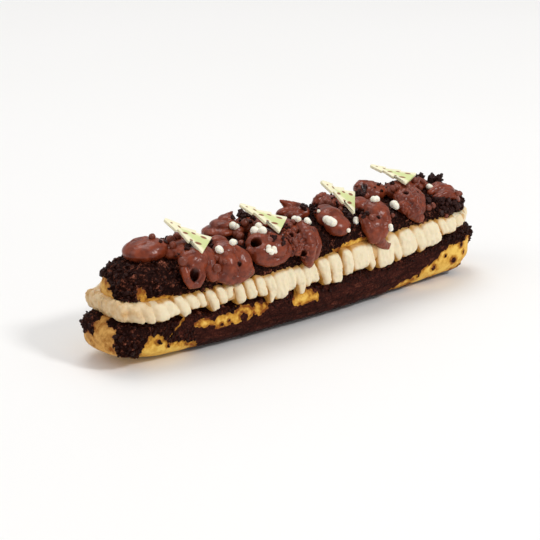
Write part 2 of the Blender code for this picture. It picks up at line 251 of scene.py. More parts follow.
def smooth(low, high, value):
    """0 below low, 1 above high, and a smooth step between."""
    part = max(0.0, min(1.0, (value - low) / (high - low)))
    return part * part * (3.0 - 2.0 * part)


def end_lift(x):
    """How far the curl of the ends raises the bun at x."""
    return END_LIFT * min(1.0, abs(x) / HALF_LENGTH) ** 3


def mid_half_width(x):
    """Half width of the bar at x, before its ends are rounded."""
    taper = END_NARROWING * (abs(x) / HALF_LENGTH) ** 1.5
    pinch = WAIST * math.exp(-((x - WAIST_X) / WAIST_SPAN) ** 2)
    near = NEAR_NARROWING * smooth(NEAR_SWAY_START, HALF_LENGTH, -x)
    return HALF_WIDTH - taper - pinch - near


def sway(x):
    """Y of the bar's middle line at x."""
    return -NEAR_SWAY * smooth(NEAR_SWAY_START, HALF_LENGTH, -x)


def end_factor(x, half_length, end, power):
    """1 along the straight middle, falling to 0 at the tip on a superellipse."""
    reach = (abs(x) - (half_length - end)) / end
    if reach <= 0.0:
        return 1.0
    return max(0.0, 1.0 - min(1.0, reach) ** power) ** (1.0 / power)


def base_top(x):
    """Height of the lower bun's top at x."""
    return BASE_TOP + end_lift(x) + FAR_SWELL * smooth(FAR_SWELL_START, FAR_SWELL_END, x)


def soffit(x):
    """Height of the upper bun's flat underside at x."""
    rise = SOFFIT_RISE * smooth(SOFFIT_RISE_START, SOFFIT_RISE_END, x)
    return TOP_SOFFIT + end_lift(x) + rise


def crown(x):
    """Height of the upper bun's crown line at x."""
    return CROWN + CROWN_RISE * (x / HALF_LENGTH + 1.0) / 2.0


def base_section(x):
    """Half width, middle height and half height of the lower bun at x."""
    low = end_lift(x) - SOLE_CUT
    high = base_top(x)
    rounding = end_factor(x, HALF_LENGTH, BASE_END, BASE_END_POWER)
    return mid_half_width(x) * rounding, (high + low) / 2.0, (high - low) / 2.0 * rounding


def top_section(x):
    """Half width, shoulder height, dome height and soffit depth of the upper bun at x."""
    rounding = end_factor(x - TOP_SHIFT, TOP_HALF_LENGTH, TOP_END, TOP_END_POWER)
    width = (mid_half_width(x) - TOP_INSET) * rounding
    shoulder = soffit(x) + TOP_SHOULDER
    return width, shoulder, (crown(x) - shoulder) * rounding, TOP_SHOULDER * rounding


def crown_arc(x):
    """Arc lengths from the crown line down one side of the dome at x."""
    width, _, dome, _ = top_section(x)
    power = 2.0 / DOME_POWER
    lengths = [0.0]
    last = (0.0, dome)
    for step in range(1, ARC_STEPS + 1):
        angle = math.pi / 2.0 * step / ARC_STEPS
        point = (width * math.sin(angle) ** power, dome * max(0.0, math.cos(angle)) ** power)
        lengths.append(lengths[-1] + math.dist(point, last))
        last = point
    return lengths


def on_dome(x, arc, offset, lengths=None):
    """Point an arc away from the crown line (front is negative), a distance off the dome."""
    lengths = lengths or crown_arc(x)
    side = math.copysign(1.0, arc)
    reach = abs(arc)
    step = next((i for i in range(1, len(lengths)) if lengths[i] >= reach), None)
    if step is None:
        angle, beyond = math.pi / 2.0, reach - lengths[-1]
    else:
        part = (reach - lengths[step - 1]) / (lengths[step] - lengths[step - 1])
        angle, beyond = math.pi / 2.0 * (step - 1 + part) / ARC_STEPS, 0.0
    width, shoulder, dome, _ = top_section(x)
    power = 2.0 / DOME_POWER
    y = width * math.sin(angle) ** power
    z = dome * max(0.0, math.cos(angle)) ** power
    normal = Vector((0.0, (y / width) ** (DOME_POWER - 1.0) / width,
                     (z / dome) ** (DOME_POWER - 1.0) / dome)).normalized()
    y = sway(x) + side * (y + offset * normal.y)
    return Vector((x, y, shoulder + z + offset * normal.z - beyond))


def station(share, half_length, end):
    """X of a ring, from its share -1 to 1 of the way along; the ends get closer rings."""
    straight = half_length - end
    mid = 1.0 - 0.75 * end / half_length
    size = abs(share)
    if size <= mid:
        reach = straight * size / mid
    else:
        reach = straight + end * math.sin((size - mid) / (1.0 - mid) * math.pi / 2.0)
    return math.copysign(reach, share)


def even_angles(power_up, power_down, width, up, down, ring, weight):
    """Angles round an outline for `ring` points spread evenly by weighted arc length."""
    reach, last, angles = [0.0], None, []
    for step in range(OUTLINE_STEPS + 1):
        angle = -math.pi + 2.0 * math.pi * step / OUTLINE_STEPS
        power = 2.0 / (power_up if angle > 0.0 else power_down)
        height = up if angle > 0.0 else down
        point = (width * signed_power(math.cos(angle), power),
                 height * signed_power(math.sin(angle), power))
        if last is not None:
            reach.append(reach[-1] + math.dist(point, last) * weight(*point))
        last = point
    index = 0
    for point in range(ring):
        goal = reach[-1] * point / ring
        while reach[index + 1] < goal:
            index += 1
        angles.append(-math.pi + 2.0 * math.pi * index / OUTLINE_STEPS)
    return angles


def ball_along_x(ring, stations):
    """A unit ball with its poles on X, to be drawn out into a bar."""
    bm = bmesh.new()
    bmesh.ops.create_uvsphere(bm, u_segments=ring, v_segments=stations, radius=1.0)
    quarter = Matrix.Rotation(math.pi / 2.0, 3, "Y")
    bmesh.ops.rotate(bm, verts=bm.verts, cent=(0, 0, 0), matrix=quarter)
    return bm


def ring_share(co):
    """How far along the bar a point of the unit ball belongs, from -1 to 1."""
    return math.asin(max(-1.0, min(1.0, co.x))) / (math.pi / 2.0)


# ---------------------------------------------------------------- mesh helpers

def finish_piece(name, bm, material, nodes=(), sharp=None):
    """Turn a bmesh into a piece that rides on the frame and stands for its CAD nodes."""
    bmesh.ops.recalc_face_normals(bm, faces=bm.faces)
    mesh = bpy.data.meshes.new(name)
    bm.to_mesh(mesh)
    bm.free()
    mesh.shade_smooth()
    if sharp is not None:
        mesh.set_sharp_from_angle(angle=math.radians(sharp))
    mesh.materials.append(material)
    piece = bpy.data.objects.new(name, mesh)
    bpy.context.scene.collection.objects.link(piece)
    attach(piece, "root")
    if nodes:
        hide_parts(*nodes)
    return piece


def wave(point, size, seed=0.0):
    """Smooth noise from -1 to 1 with waves of about a given size."""
    return noise.noise(point / size + Vector((seed, seed * 0.7, -seed)))


def crumbly(point, size, seed=0.0):
    """0 in the cracks between crumbs of about a given size, and up to 1 on the tall ones."""
    cells, centres = noise.voronoi(point / size + Vector((seed, 0.0, seed)))
    top = min(1.0, (cells[1] - cells[0]) * 2.2) ** 0.5
    return top * (0.6 + 0.55 * noise.noise(centres[0] * 3.7))


def fuse(bm, voxel, passes):
    """Run overlapping closed shapes together into one skin, softened by smoothing."""
    mesh = bpy.data.meshes.new("strokes")
    bm.to_mesh(mesh)
    bm.free()
    strokes = bpy.data.objects.new("strokes", mesh)
    bpy.context.scene.collection.objects.link(strokes)
    remesh = strokes.modifiers.new("Remesh", "REMESH")
    remesh.mode = "VOXEL"
    remesh.voxel_size = voxel
    graph = bpy.context.evaluated_depsgraph_get()
    skin = bpy.data.meshes.new_from_object(strokes.evaluated_get(graph))
    bpy.data.objects.remove(strokes)
    bpy.data.meshes.remove(mesh)
    fused = bmesh.new()
    fused.from_mesh(skin)
    bpy.data.meshes.remove(skin)
    for _ in range(passes):
        bmesh.ops.smooth_vert(fused, verts=fused.verts, factor=0.5,
                              use_axis_x=True, use_axis_y=True, use_axis_z=True)
    fused.normal_update()
    return fused


def add_ball(bm, centre, size, subdivisions=2, turn=None):
    """Add a round ball, or an egg when size has three radii, and return its points."""
    ball = bmesh.ops.create_icosphere(bm, subdivisions=subdivisions, radius=1.0)["verts"]
    radii = size if hasattr(size, "__len__") else (size,) * 3
    bmesh.ops.scale(bm, vec=radii, verts=ball)
    if turn is not None:
        bmesh.ops.rotate(bm, verts=ball, cent=(0, 0, 0), matrix=turn)
    bmesh.ops.translate(bm, vec=centre, verts=ball)
    return ball


# ---------------------------------------------------------------- materials

def set_up(tree, node, settings=None, links=None):
    """Set a node's properties and sockets, wire its inputs and return it.

    Colours have three parts, "stops" are a ramp's places and colours, and a link comes from
    a socket or from a node's first output in use.
    """
    for key, value in (settings or {}).items():
        if key == "stops":
            elements = node.color_ramp.elements
            while len(elements) < len(value):
                elements.new(0.5)
            for element, (place, shade) in zip(elements, value):
                element.position = place
                element.color = (*shade, 1.0)
        elif isinstance(key, int) or key in node.inputs:
            socket = node.inputs[key]
            socket.default_value = (*value, 1.0) if socket.type == "RGBA" else value
        else:
            setattr(node, key, value)
    for key, source in (links or {}).items():
        if isinstance(source, bpy.types.Node):
            source = next(output for output in source.outputs if output.enabled)
        tree.links.new(source, node.inputs[key])
    return node


def add_node(tree, kind, settings=None, links=None):
    """Add a shader node with its settings and links."""
    return set_up(tree, tree.nodes.new(kind), settings, links)


def new_material(name):
    """A material, the function that adds its nodes, and its Object coordinates."""
    material = bpy.data.materials.new(name)
    material.use_nodes = True
    add = partial(add_node, material.node_tree)
    return material, add, add("ShaderNodeTexCoord").outputs["Object"]


def finish_material(material, settings, links):
    """Give a material's Principled shader its settings and links."""
    tree = material.node_tree
    set_up(tree, tree.nodes["Principled BSDF"], settings, links)
    return material


def choux_material(bun):
    """Choux pastry under a baked cocoa crust.

    The crust is matt and gritty, with painted shade that makes it nearly black in its cracks
    and a painted highlight on its tallest crumbs. The choux is a satin golden skin, browner
    where the oven caught it in 6 mm blotches. The grain is as fine as cocoa and sugar
    crumbs, about 1 mm.
    """
    material, add, place = new_material("choux pastry with baked cocoa crust")
    crust = add("ShaderNodeAttribute", {"attribute_name": "crust"}).outputs["Fac"]
    tall = add("ShaderNodeAttribute", {"attribute_name": "crumb"}).outputs["Fac"]
    parts = add("ShaderNodeSeparateXYZ", links={0: place})

    # The crust ends along a ragged line.
    ragged = add("ShaderNodeTexNoise",
                 {"Scale": 1.0 / (1.6 * MM), "Detail": 4.0, "Roughness": 0.6},
                 {"Vector": place})
    shift = add("ShaderNodeMath", {"operation": "MULTIPLY_ADD", 1: 0.8, 2: -0.4}, {0: ragged})
    edge = add("ShaderNodeMath", {"operation": "ADD"}, {0: crust, 1: shift})
    cover = add("ShaderNodeMapRange",
                {"interpolation_type": "SMOOTHSTEP", 1: 0.42, 2: 0.55}, {0: edge})

    fine = add("ShaderNodeTexNoise",
               {"Scale": 1.0 / (bun.grain * 0.8), "Detail": 4.0, "Roughness": 0.7},
               {"Vector": place})
    # Painted shade darkens the cracks between crumbs and a painted highlight lightens their
    # tops, with the crust's fine grain mixed in. The brightest stop is a painted glint.
    height = add("ShaderNodeMath", {"operation": "MULTIPLY_ADD", 1: 0.45}, {0: tall, 2: fine})
    painted_glint = tuple(min(1.0, v * 2.2 + 0.04) for v in bun.crust_highlight)
    dark = add("ShaderNodeValToRGB",
               {"stops": ((0.45, bun.crust_dark), (0.74, bun.crust_mid),
                          (0.92, bun.crust_highlight), (1.0, painted_glint))}, {0: height})

    # The side of the lower bun is finer and redder than the rest, with the same painted shade
    # in its cracks and painted highlight on its crumbs.
    redder = add("ShaderNodeValToRGB",
                 {"stops": ((0.4, bun.crust_dark), (0.72, bun.crust_low),
                            (0.98, bun.crust_highlight))}, {0: height})
    low = add("ShaderNodeMapRange", {1: 30 * MM, 2: 22 * MM, 3: 0.0, 4: 0.85},
              {0: parts.outputs[2]})
    along = add("ShaderNodeMapRange", {1: -128 * MM, 2: -112 * MM}, {0: parts.outputs[0]})
    low = add("ShaderNodeMath", {"operation": "MULTIPLY"}, {0: low, 1: along})
    dark = add("ShaderNodeMix", {"data_type": "RGBA"}, {0: low, 6: dark, 7: redder})

    # Faint darker layers lie along it, where the dough was pulled lengthwise.
    flat = add("ShaderNodeMapping", {"Scale": (0.12, 0.5, 1.0)}, {"Vector": place})
    streak = add("ShaderNodeTexNoise", {"Scale": 1.0 / (2.2 * MM), "Detail": 3.0},
                 {"Vector": flat})
    layers = add("ShaderNodeMapRange", {1: 0.42, 2: 0.6, 3: 0.45, 4: 1.0}, {0: streak})
    pulled = add("ShaderNodeMix", {"data_type": "RGBA", 6: bun.crust_dark},
                 {0: layers, 7: dark})
    dark = add("ShaderNodeMix", {"data_type": "RGBA"}, {0: low, 6: dark, 7: pulled})

    # Bare choux is golden, and baked an even tan at the near end.
    blotch = add("ShaderNodeTexNoise",
                 {"Scale": 1.0 / (6.0 * MM), "Detail": 5.0, "Roughness": 0.65},
                 {"Vector": place})
    # Darker in the blotches and towards the edge of each patch
    edge_and_blotch = add("ShaderNodeMath", {"operation": "MULTIPLY_ADD", 1: -0.34},
                   {0: tall, 2: blotch})
    gold = add("ShaderNodeValToRGB",
               {"stops": ((0.14, bun.choux_dark), (0.34, bun.choux_mid),
                          (0.55, bun.choux_light))}, {0: edge_and_blotch})
    baked = add("ShaderNodeValToRGB",
                {"stops": ((0.35, bun.choux_dark), (0.6, bun.choux_baked))}, {0: blotch})
    near = add("ShaderNodeMapRange", {1: -141 * MM, 2: -150 * MM, 3: 0.0, 4: 0.8},
               {0: parts.outputs[0]})
    gold = add("ShaderNodeMix", {"data_type": "RGBA"}, {0: near, 6: gold, 7: baked})

    tone = add("ShaderNodeMix", {"data_type": "RGBA"}, {0: cover, 6: gold, 7: dark})
    rough = add("ShaderNodeMapRange", {3: 0.5, 4: 0.62}, {0: cover})
    pitted = add("ShaderNodeBump", {"Strength": 0.7, "Distance": 0.35 * MM}, {"Height": fine})
    return finish_material(material, {"Specular IOR Level": 0.06},
                           {"Base Color": tone, "Roughness": rough, "Normal": pitted})


def cream_material(cream):
    """Pastry cream: smooth and moist, glowing where thin, with painted shade in the creases.

    Light goes about 1.5 mm into it, and red light furthest. A fine grain of 1.6 mm waves
    breaks its shine.
    """
    material, add, place = new_material("piped pastry cream")
    # The crease attribute says how much painted shade lies on the cream.
    crease = add("ShaderNodeAttribute", {"attribute_name": "crease"}).outputs["Fac"]
    tone = add("ShaderNodeMix", {"data_type": "RGBA", 6: cream.light, 7: cream.shade},
               {0: crease})
    soft = add("ShaderNodeTexNoise", {"Scale": 1.0 / (1.6 * MM), "Detail": 3.0},
               {"Vector": place})
    bump = add("ShaderNodeBump", {"Strength": 0.35, "Distance": 0.15 * MM}, {"Height": soft})
    return finish_material(
        material, {"Roughness": 0.5, "Subsurface Weight": 0.25,
                   "Subsurface Radius": (1.0, 0.7, 0.4), "Subsurface Scale": 1.5 * MM},
        {"Base Color": tone, "Normal": bump})


def ganache_material(name, dark, light, rough):
    """Whipped chocolate ganache: satin, soft sheen, faint streaks, painted shade in its folds.

    The streaks are about 5 mm apart, and 1.3 mm waves from the whipping break its shine.
    """
    material, add, place = new_material(name)
    streak = add("ShaderNodeTexNoise", {"Scale": 1.0 / (5.0 * MM), "Detail": 3.0},
                 {"Vector": place})
    tone = add("ShaderNodeValToRGB", {"stops": ((0.3, dark), (0.7, light))}, {0: streak})
    # Painted shade: darker down in the folds between strokes, nearly black inside the hollows
    fold = add("ShaderNodeNewGeometry").outputs["Pointiness"]
    raised = add("ShaderNodeMapRange",
                 {"interpolation_type": "SMOOTHSTEP", 1: 0.41, 2: 0.505}, {0: fold})
    tone = add("ShaderNodeMix", {"data_type": "RGBA", 6: tuple(0.3 * v for v in dark)},
               {0: raised, 7: tone})
    hollow = add("ShaderNodeAttribute", {"attribute_name": "hollow"}).outputs["Fac"]
    tone = add("ShaderNodeMix", {"data_type": "RGBA", 7: tuple(0.2 * v for v in dark)},
               {0: hollow, 6: tone})
    fine = add("ShaderNodeTexNoise", {"Scale": 1.0 / (1.3 * MM), "Detail": 3.0},
               {"Vector": place})
    bump = add("ShaderNodeBump", {"Strength": 0.35, "Distance": 0.12 * MM}, {"Height": fine})
    return finish_material(material, {"Roughness": rough, "Specular IOR Level": 0.35},
                           {"Base Color": tone, "Normal": bump})


def white_material(white):
    """White chocolate crispies: ivory, satin, and glowing a little where thin."""
    material, add, place = new_material("white chocolate crispies")
    cloud = add("ShaderNodeTexNoise", {"Scale": 1.0 / (3.0 * MM)}, {"Vector": place})
    deep = tuple(v * 0.86 for v in white)
    tone = add("ShaderNodeValToRGB", {"stops": ((0.3, deep), (0.6, white))}, {0: cloud})
    return finish_material(
        material, {"Roughness": 0.4, "Subsurface Weight": 0.2,
                   "Subsurface Radius": (1.0, 0.8, 0.5), "Subsurface Scale": 1.0 * MM},
        {"Base Color": tone})


def crumb_material(dark, light):
    """Loose crumbs of cocoa crust: nearly black, dry, with a slight sheen of fat."""
    material, add, place = new_material("cocoa crust crumbs")
    cloud = add("ShaderNodeTexNoise", {"Scale": 1.0 / (1.1 * MM), "Detail": 3.0},
                {"Vector": place})
    tone = add("ShaderNodeValToRGB", {"stops": ((0.45, dark), (0.75, light))}, {0: cloud})
    return finish_material(material, {"Roughness": 0.5, "Specular IOR Level": 0.15},
                           {"Base Color": tone})


# Dashes printed on a plaque: reach and side from the middle of the foot, half length,
# half width in mm, and turn in degrees
DASHES = (
    (27.0, 0.2, 0.9, 0.5, 20), (21.5, -0.6, 1.3, 0.6, -10), (16.0, 1.4, 1.9, 0.9, 25),
    (11.5, -2.6, 1.6, 0.7, 15), (4.6, -4.6, 2.2, 1.0, 20), (5.6, 3.4, 2.4, 1.1, 25),
    (10.5, 4.2, 1.2, 0.6, 10),
)


def plaque_material(topping):
    """White chocolate plaque with a green tint and brown dashes of cocoa butter.

    The plaque's own UV map is in millimetres: U from the foot to the tip, V across.
    """
    material, add, place = new_material("printed white chocolate")
    flat = add("ShaderNodeUVMap", {"uv_map": "plaque"})
    parts = add("ShaderNodeSeparateXYZ", links={0: flat})
    side = add("ShaderNodeMath", {"operation": "ABSOLUTE"}, {0: parts.outputs[1]})
    # The tint fades out before the edge, which lies further in towards the tip.
    limit = add("ShaderNodeMath", {"operation": "MULTIPLY_ADD", 1: 0.27},
                {0: parts.outputs[0], 2: side})
    spread = add("ShaderNodeTexNoise", {"Scale": 1.0 / (2.5 * MM), "Detail": 3.0},
                 {"Vector": place})
    soft = add("ShaderNodeMath", {"operation": "MULTIPLY_ADD", 1: 3.0},
               {0: spread, 2: limit})
    border = add("ShaderNodeMapRange",
                 {"interpolation_type": "SMOOTHSTEP", 1: 5.6, 2: 8.6}, {0: soft})
    tone = add("ShaderNodeMix",
               {"data_type": "RGBA", 6: topping.centre, 7: topping.border}, {0: border})
    for reach, across, half_long, half_wide, turn in DASHES:
        moved = add("ShaderNodeMapping",
                    {"vector_type": "TEXTURE", "Location": (reach, across, 0.0),
                     "Rotation": (0.0, 0.0, math.radians(turn)),
                     "Scale": (half_long, half_wide, 1.0)}, {0: flat})
        far = add("ShaderNodeVectorMath", {"operation": "LENGTH"}, {0: moved})
        inside = add("ShaderNodeMapRange", {1: 1.25, 2: 0.75}, {0: far.outputs["Value"]})
        tone = add("ShaderNodeMix", {"data_type": "RGBA", 7: topping.dash},
                   {0: inside, 6: tone})
    return finish_material(
        material, {"Roughness": 0.42, "Subsurface Weight": 0.15,
                   "Subsurface Radius": (1.0, 0.9, 0.5), "Subsurface Scale": 1.0 * MM},
        {"Base Color": tone})


# ---------------------------------------------------------------- buns

def patch_distance(point, patches):
    """Millimetres from the nearest patch of bare choux; negative inside one."""
    best = 100.0
    for x, z, half_x, half_z, slope in patches:
        dx = point.x / MM - x
        dz = point.z / MM - z - slope * dx
        reach = math.hypot(dx / half_x, dz / half_z)
        best = min(best, (reach - 1.0) * min(half_x, half_z) * 1.2)
    return best


def base_crust(point):
    """Millimetres of crust between a point of the lower bun and bare choux."""
    along, y, z = point / MM
    x = PATCH_TURN - along if y > 0.0 else along
    bare = patch_distance(Vector((x, 0.0, z)) * MM, BASE_PATCHES)
    if along < -135.0:
        # The near end is bare but for a wedge of crust down its front corner, a clod at the
        # top of its far corner and the crust of the far side.
        corner = -20.5 + 11.5 * smooth(25, 31, z) - 5.0 * (1.0 - smooth(4, 16, z))
        crust = max(corner - y, min(y + 2.0, z - 21.0, 28.0 - y), y - 36.0)
        bare = min(bare, crust + max(0.0, along + 147.0) * 1.2)
    if along > 150.0:
        bare = min(bare, z - 19.0 + max(0.0, 158.0 - along) * 1.5)
    bare += 2.4 * wave(point, 5.0 * MM, 3.0) + 1.5 * wave(point, 2.0 * MM, 8.0)
    # A thin crack runs up from the near patch to the cream.
    crack = abs(z - 22.5 - 0.55 * (x + 112.0) - 0.8 * wave(point, 3.0 * MM))
    bare = min(bare, crack * 1.3 - 0.7 + max(0.0, abs(x + 112.0) - 8.0))
    for spot_x, spot_z, radius in BASE_SPOTS:
        away = math.hypot(x - spot_x, z - spot_z)
        if away < radius * 2.0:
            bare = max(bare, (radius - away) * 1.5 + 1.4 * wave(point, 1.6 * MM))
    return bare


def top_crust(point):
    """Millimetres of crust between a point of the upper bun and bare choux."""
    x, z = point.x / MM, point.z / MM
    edge = soffit(point.x) / MM
    edge -= NEAR_SAG * smooth(SAG_START, SAG_END, -x)
    bare = z - edge + 1.5
    if point.y < 0.0:
        for patch_x, patch_z, half_x, half_z in TOP_PATCHES:
            least = min(half_x, half_z)
            reach = math.hypot((x - patch_x) / half_x, (z - patch_z) / half_z)
            bare = min(bare, reach * least - least)
    # A rim of choux shows round the foot of the near end, highest towards the back.
    rim = 1.5 + 13.0 * smooth(-17.0, 1.0, point.y / MM)
    bare = min(bare, z - edge - rim + max(0.0, x + 142.0) * 1.2)
    return bare + 1.5 * wave(point, 4.5 * MM, 5.0) + 1.1 * wave(point, 1.8 * MM, 2.0)


def crust_relief(point, cover, coarse, bun):
    """Rise of the skin at a point, and how tall its crumb is: crust over choux."""
    # Where the crust is fine it runs in long streaks.
    even = 1.0 - smooth(0.6 * MM, 0.85 * MM, coarse)
    point = Vector((point.x * (1.0 - 0.6 * even), point.y, point.z))
    crumb = 0.6 * crumbly(point, bun.crumb) + 0.3 * crumbly(point, bun.grain * 1.2, 4.0)
    crumb += 0.5 * crumbly(point, bun.crumb * 2.2, 7.0) * min(1.0, coarse / MM) - 0.1
    skin = 0.2 * MM * wave(Vector((point.x * 0.3, point.y, point.z)), 2.2 * MM)
    skin += 0.3 * MM * wave(point, 6.0 * MM, 9.0)
    crust = bun.crust_thickness + coarse * (2.2 * crumb - 0.75)
    return skin + (crust - skin) * cover, crumb


def build_bun(name, node, section, outline, cover_of, coarse_of, bun, material):
    """Draw a ball out into one half of the bun and raise its crust."""
    bm = ball_along_x(BUN_RING, BUN_STATIONS)
    half, shift, end = section
    shape, angles = outline
    for vert in bm.verts:
        x = shift + station(ring_share(vert.co), half, end)
        turn = round((math.atan2(vert.co.z, vert.co.y) / math.pi + 1.0) * BUN_RING / 2.0)
        vert.co = shape(x, angles[turn % BUN_RING])
    bmesh.ops.recalc_face_normals(bm, faces=bm.faces)
    bm.normal_update()
    covers = bm.verts.layers.float.new("crust")
    crumbs = bm.verts.layers.float.new("crumb")
    moved = []
    for vert in bm.verts:
        bare = cover_of(vert.co)
        cover = smooth(-0.6, 0.6, bare)
        rise, tall = crust_relief(vert.co, cover, coarse_of(vert.co), bun)
        # On bare choux the second value says how near a patch's edge is, which darkens it.
        vert[covers], vert[crumbs] = cover, tall * cover + (1.0 - cover) * smooth(
            -5.0, 0.5, bare)
        if node == "choux_base":
            rise *= smooth(0.0, 7 * MM, vert.co.z)
        moved.append(vert.co + vert.normal * (rise + 0.5 * MM * wave(vert.co, 14 * MM, 1.0)))
    for vert, place in zip(bm.verts, moved):
        vert.co = place
        vert.co.z = max(vert.co.z, 0.0)
    return finish_piece(name, bm, material, (node,))


def base_shape(x, angle):
    """Point of the lower bun's outline, before its crust."""
    width, middle, height = base_section(x)
    power = 2.0 / BASE_SIDE_POWER
    point = Vector((x, sway(x) + width * signed_power(math.cos(angle), power),
                    middle + height * signed_power(math.sin(angle), power)))
    # The foot turns up at both ends.
    turned = smooth(120 * MM, 152 * MM, -x) + 1.8 * smooth(138 * MM, 163 * MM, x)
    point.z += 4.5 * MM * turned * (1.0 - smooth(0.0, 18 * MM, point.z))
    for cx, cy, cz, radius, rise in CRUST_CLODS:
        away = point - Vector((cx, cy, cz)) * MM
        near = 1.0 - min(1.0, away.length / (radius * MM)) ** 2
        point += Vector((math.copysign(1.0, cx), 0.0, 0.1)) * rise * MM * near * near
    return point


def top_shape(x, angle):
    """Point of the upper bun's outline, before its crust."""
    width, shoulder, dome, depth = top_section(x)
    upper = math.sin(angle) > 0.0
    power = 2.0 / (DOME_POWER if upper else BASE_SIDE_POWER)
    rise = signed_power(math.sin(angle), power) * (dome if upper else depth)
    y = sway(x) + width * signed_power(math.cos(angle), power)
    # The near end sags and swells out round its foot.
    foot = smooth(SAG_START * MM, SAG_END * MM, -x)
    foot *= 1.0 - smooth(3 * MM, 12 * MM, rise)
    return Vector((x, y * (1.0 + 0.04 * foot), shoulder + rise - NEAR_SAG * MM * foot))


def base_coarse(point):
    """Height of the lower bun's crust lumps at a point; the clods are coarser."""
    near = smooth(95 * MM, 125 * MM, -point.x)
    far = smooth(140 * MM, 152 * MM, point.x)
    rim = smooth(-6 * MM, 2 * MM, point.z - base_top(point.x) + 6 * MM)
    return (0.55 + 0.6 * near + 0.8 * far + 0.5 * rim) * MM


def top_coarse(point):
    """Height of the upper bun's crust lumps at a point; both ends are coarser."""
    near = smooth(50 * MM, 100 * MM, -point.x)
    far = smooth(90 * MM, 130 * MM, point.x)
    rim = 1.0 - smooth(4 * MM, 12 * MM, point.z - soffit(point.x))
    return (0.75 + 0.6 * near + 0.9 * far + 0.4 * rim) * MM


def base_angles():
    """Angles round the lower bun: close together on its sides, wide on sole and top."""
    return even_angles(BASE_SIDE_POWER, BASE_SIDE_POWER, HALF_WIDTH, BASE_TOP / 2.0,
                       BASE_TOP / 2.0, BUN_RING,
                       lambda y, z: 1.0 if abs(y) > BASE_FINE_Y else 0.35)


def top_angles():
    """Angles round the upper bun: close together on the dome, wide on the underside."""
    return even_angles(DOME_POWER, BASE_SIDE_POWER, HALF_WIDTH, 20 * MM, TOP_SHOULDER,
                       BUN_RING, lambda y, z: 1.0 if z > TOP_FINE_Z else 0.3)


def build_crust_crumbs(name, bun):
    """Bake loose crumbs onto the crust of one half of the bun, joined into one piece."""
    count, seed = LOOSE_CRUMBS[name]
    rng = random.Random(seed)
    bun_mesh = bpy.data.objects[name].data
    covers = bun_mesh.attributes["crust"].data
    # None on the underside, under the cream, or where the crust is fine
    spots = []
    for index, vert in enumerate(bun_mesh.vertices):
        if name == "lower_bun":
            shows = base_coarse(vert.co) > 0.6 * MM and abs(vert.normal.z) < 0.9
        else:
            shows = vert.normal.z > -0.5
        if shows and covers[index].value > 0.8 and vert.co.z > 9 * MM:
            spots.append(index)
    joined = bmesh.new()
    for _ in range(count // CRUMB_BATCH):
        bm = bmesh.new()
        for _ in range(CRUMB_BATCH):
            vert = bun_mesh.vertices[rng.choice(spots)]
            ends = smooth(90 * MM, 140 * MM, abs(vert.co.x))
            size = (rng.uniform(0.25, 0.85) + ends * rng.uniform(0.0, 0.9)) * MM
            if rng.random() < BIG_CRUMBS:
                size *= BIG_CRUMB
            turn = Matrix.Rotation(rng.uniform(0.0, 6.28), 3, vert.normal)
            crumb = add_ball(bm, vert.co + vert.normal * size * rng.uniform(-0.2, 0.5),
                             [size * rng.uniform(0.7, 1.3) for _ in range(3)], 1, turn)
            for corner in crumb:
                corner.co += Vector([rng.uniform(-CRUMB_CHIP, CRUMB_CHIP) * size
                                     for _ in range(3)])
        batch = bpy.data.meshes.new("batch")
        bm.to_mesh(batch)
        bm.free()
        joined.from_mesh(batch)
        bpy.data.meshes.remove(batch)
    material = bpy.data.materials.get("cocoa crust crumbs")
    pale = tuple(v * 1.9 for v in bun.crust_mid)
    material = material or crumb_material(bun.crust_mid, pale)
    return finish_piece(name + "_crumbs", joined, material)


# ---------------------------------------------------------------- cream

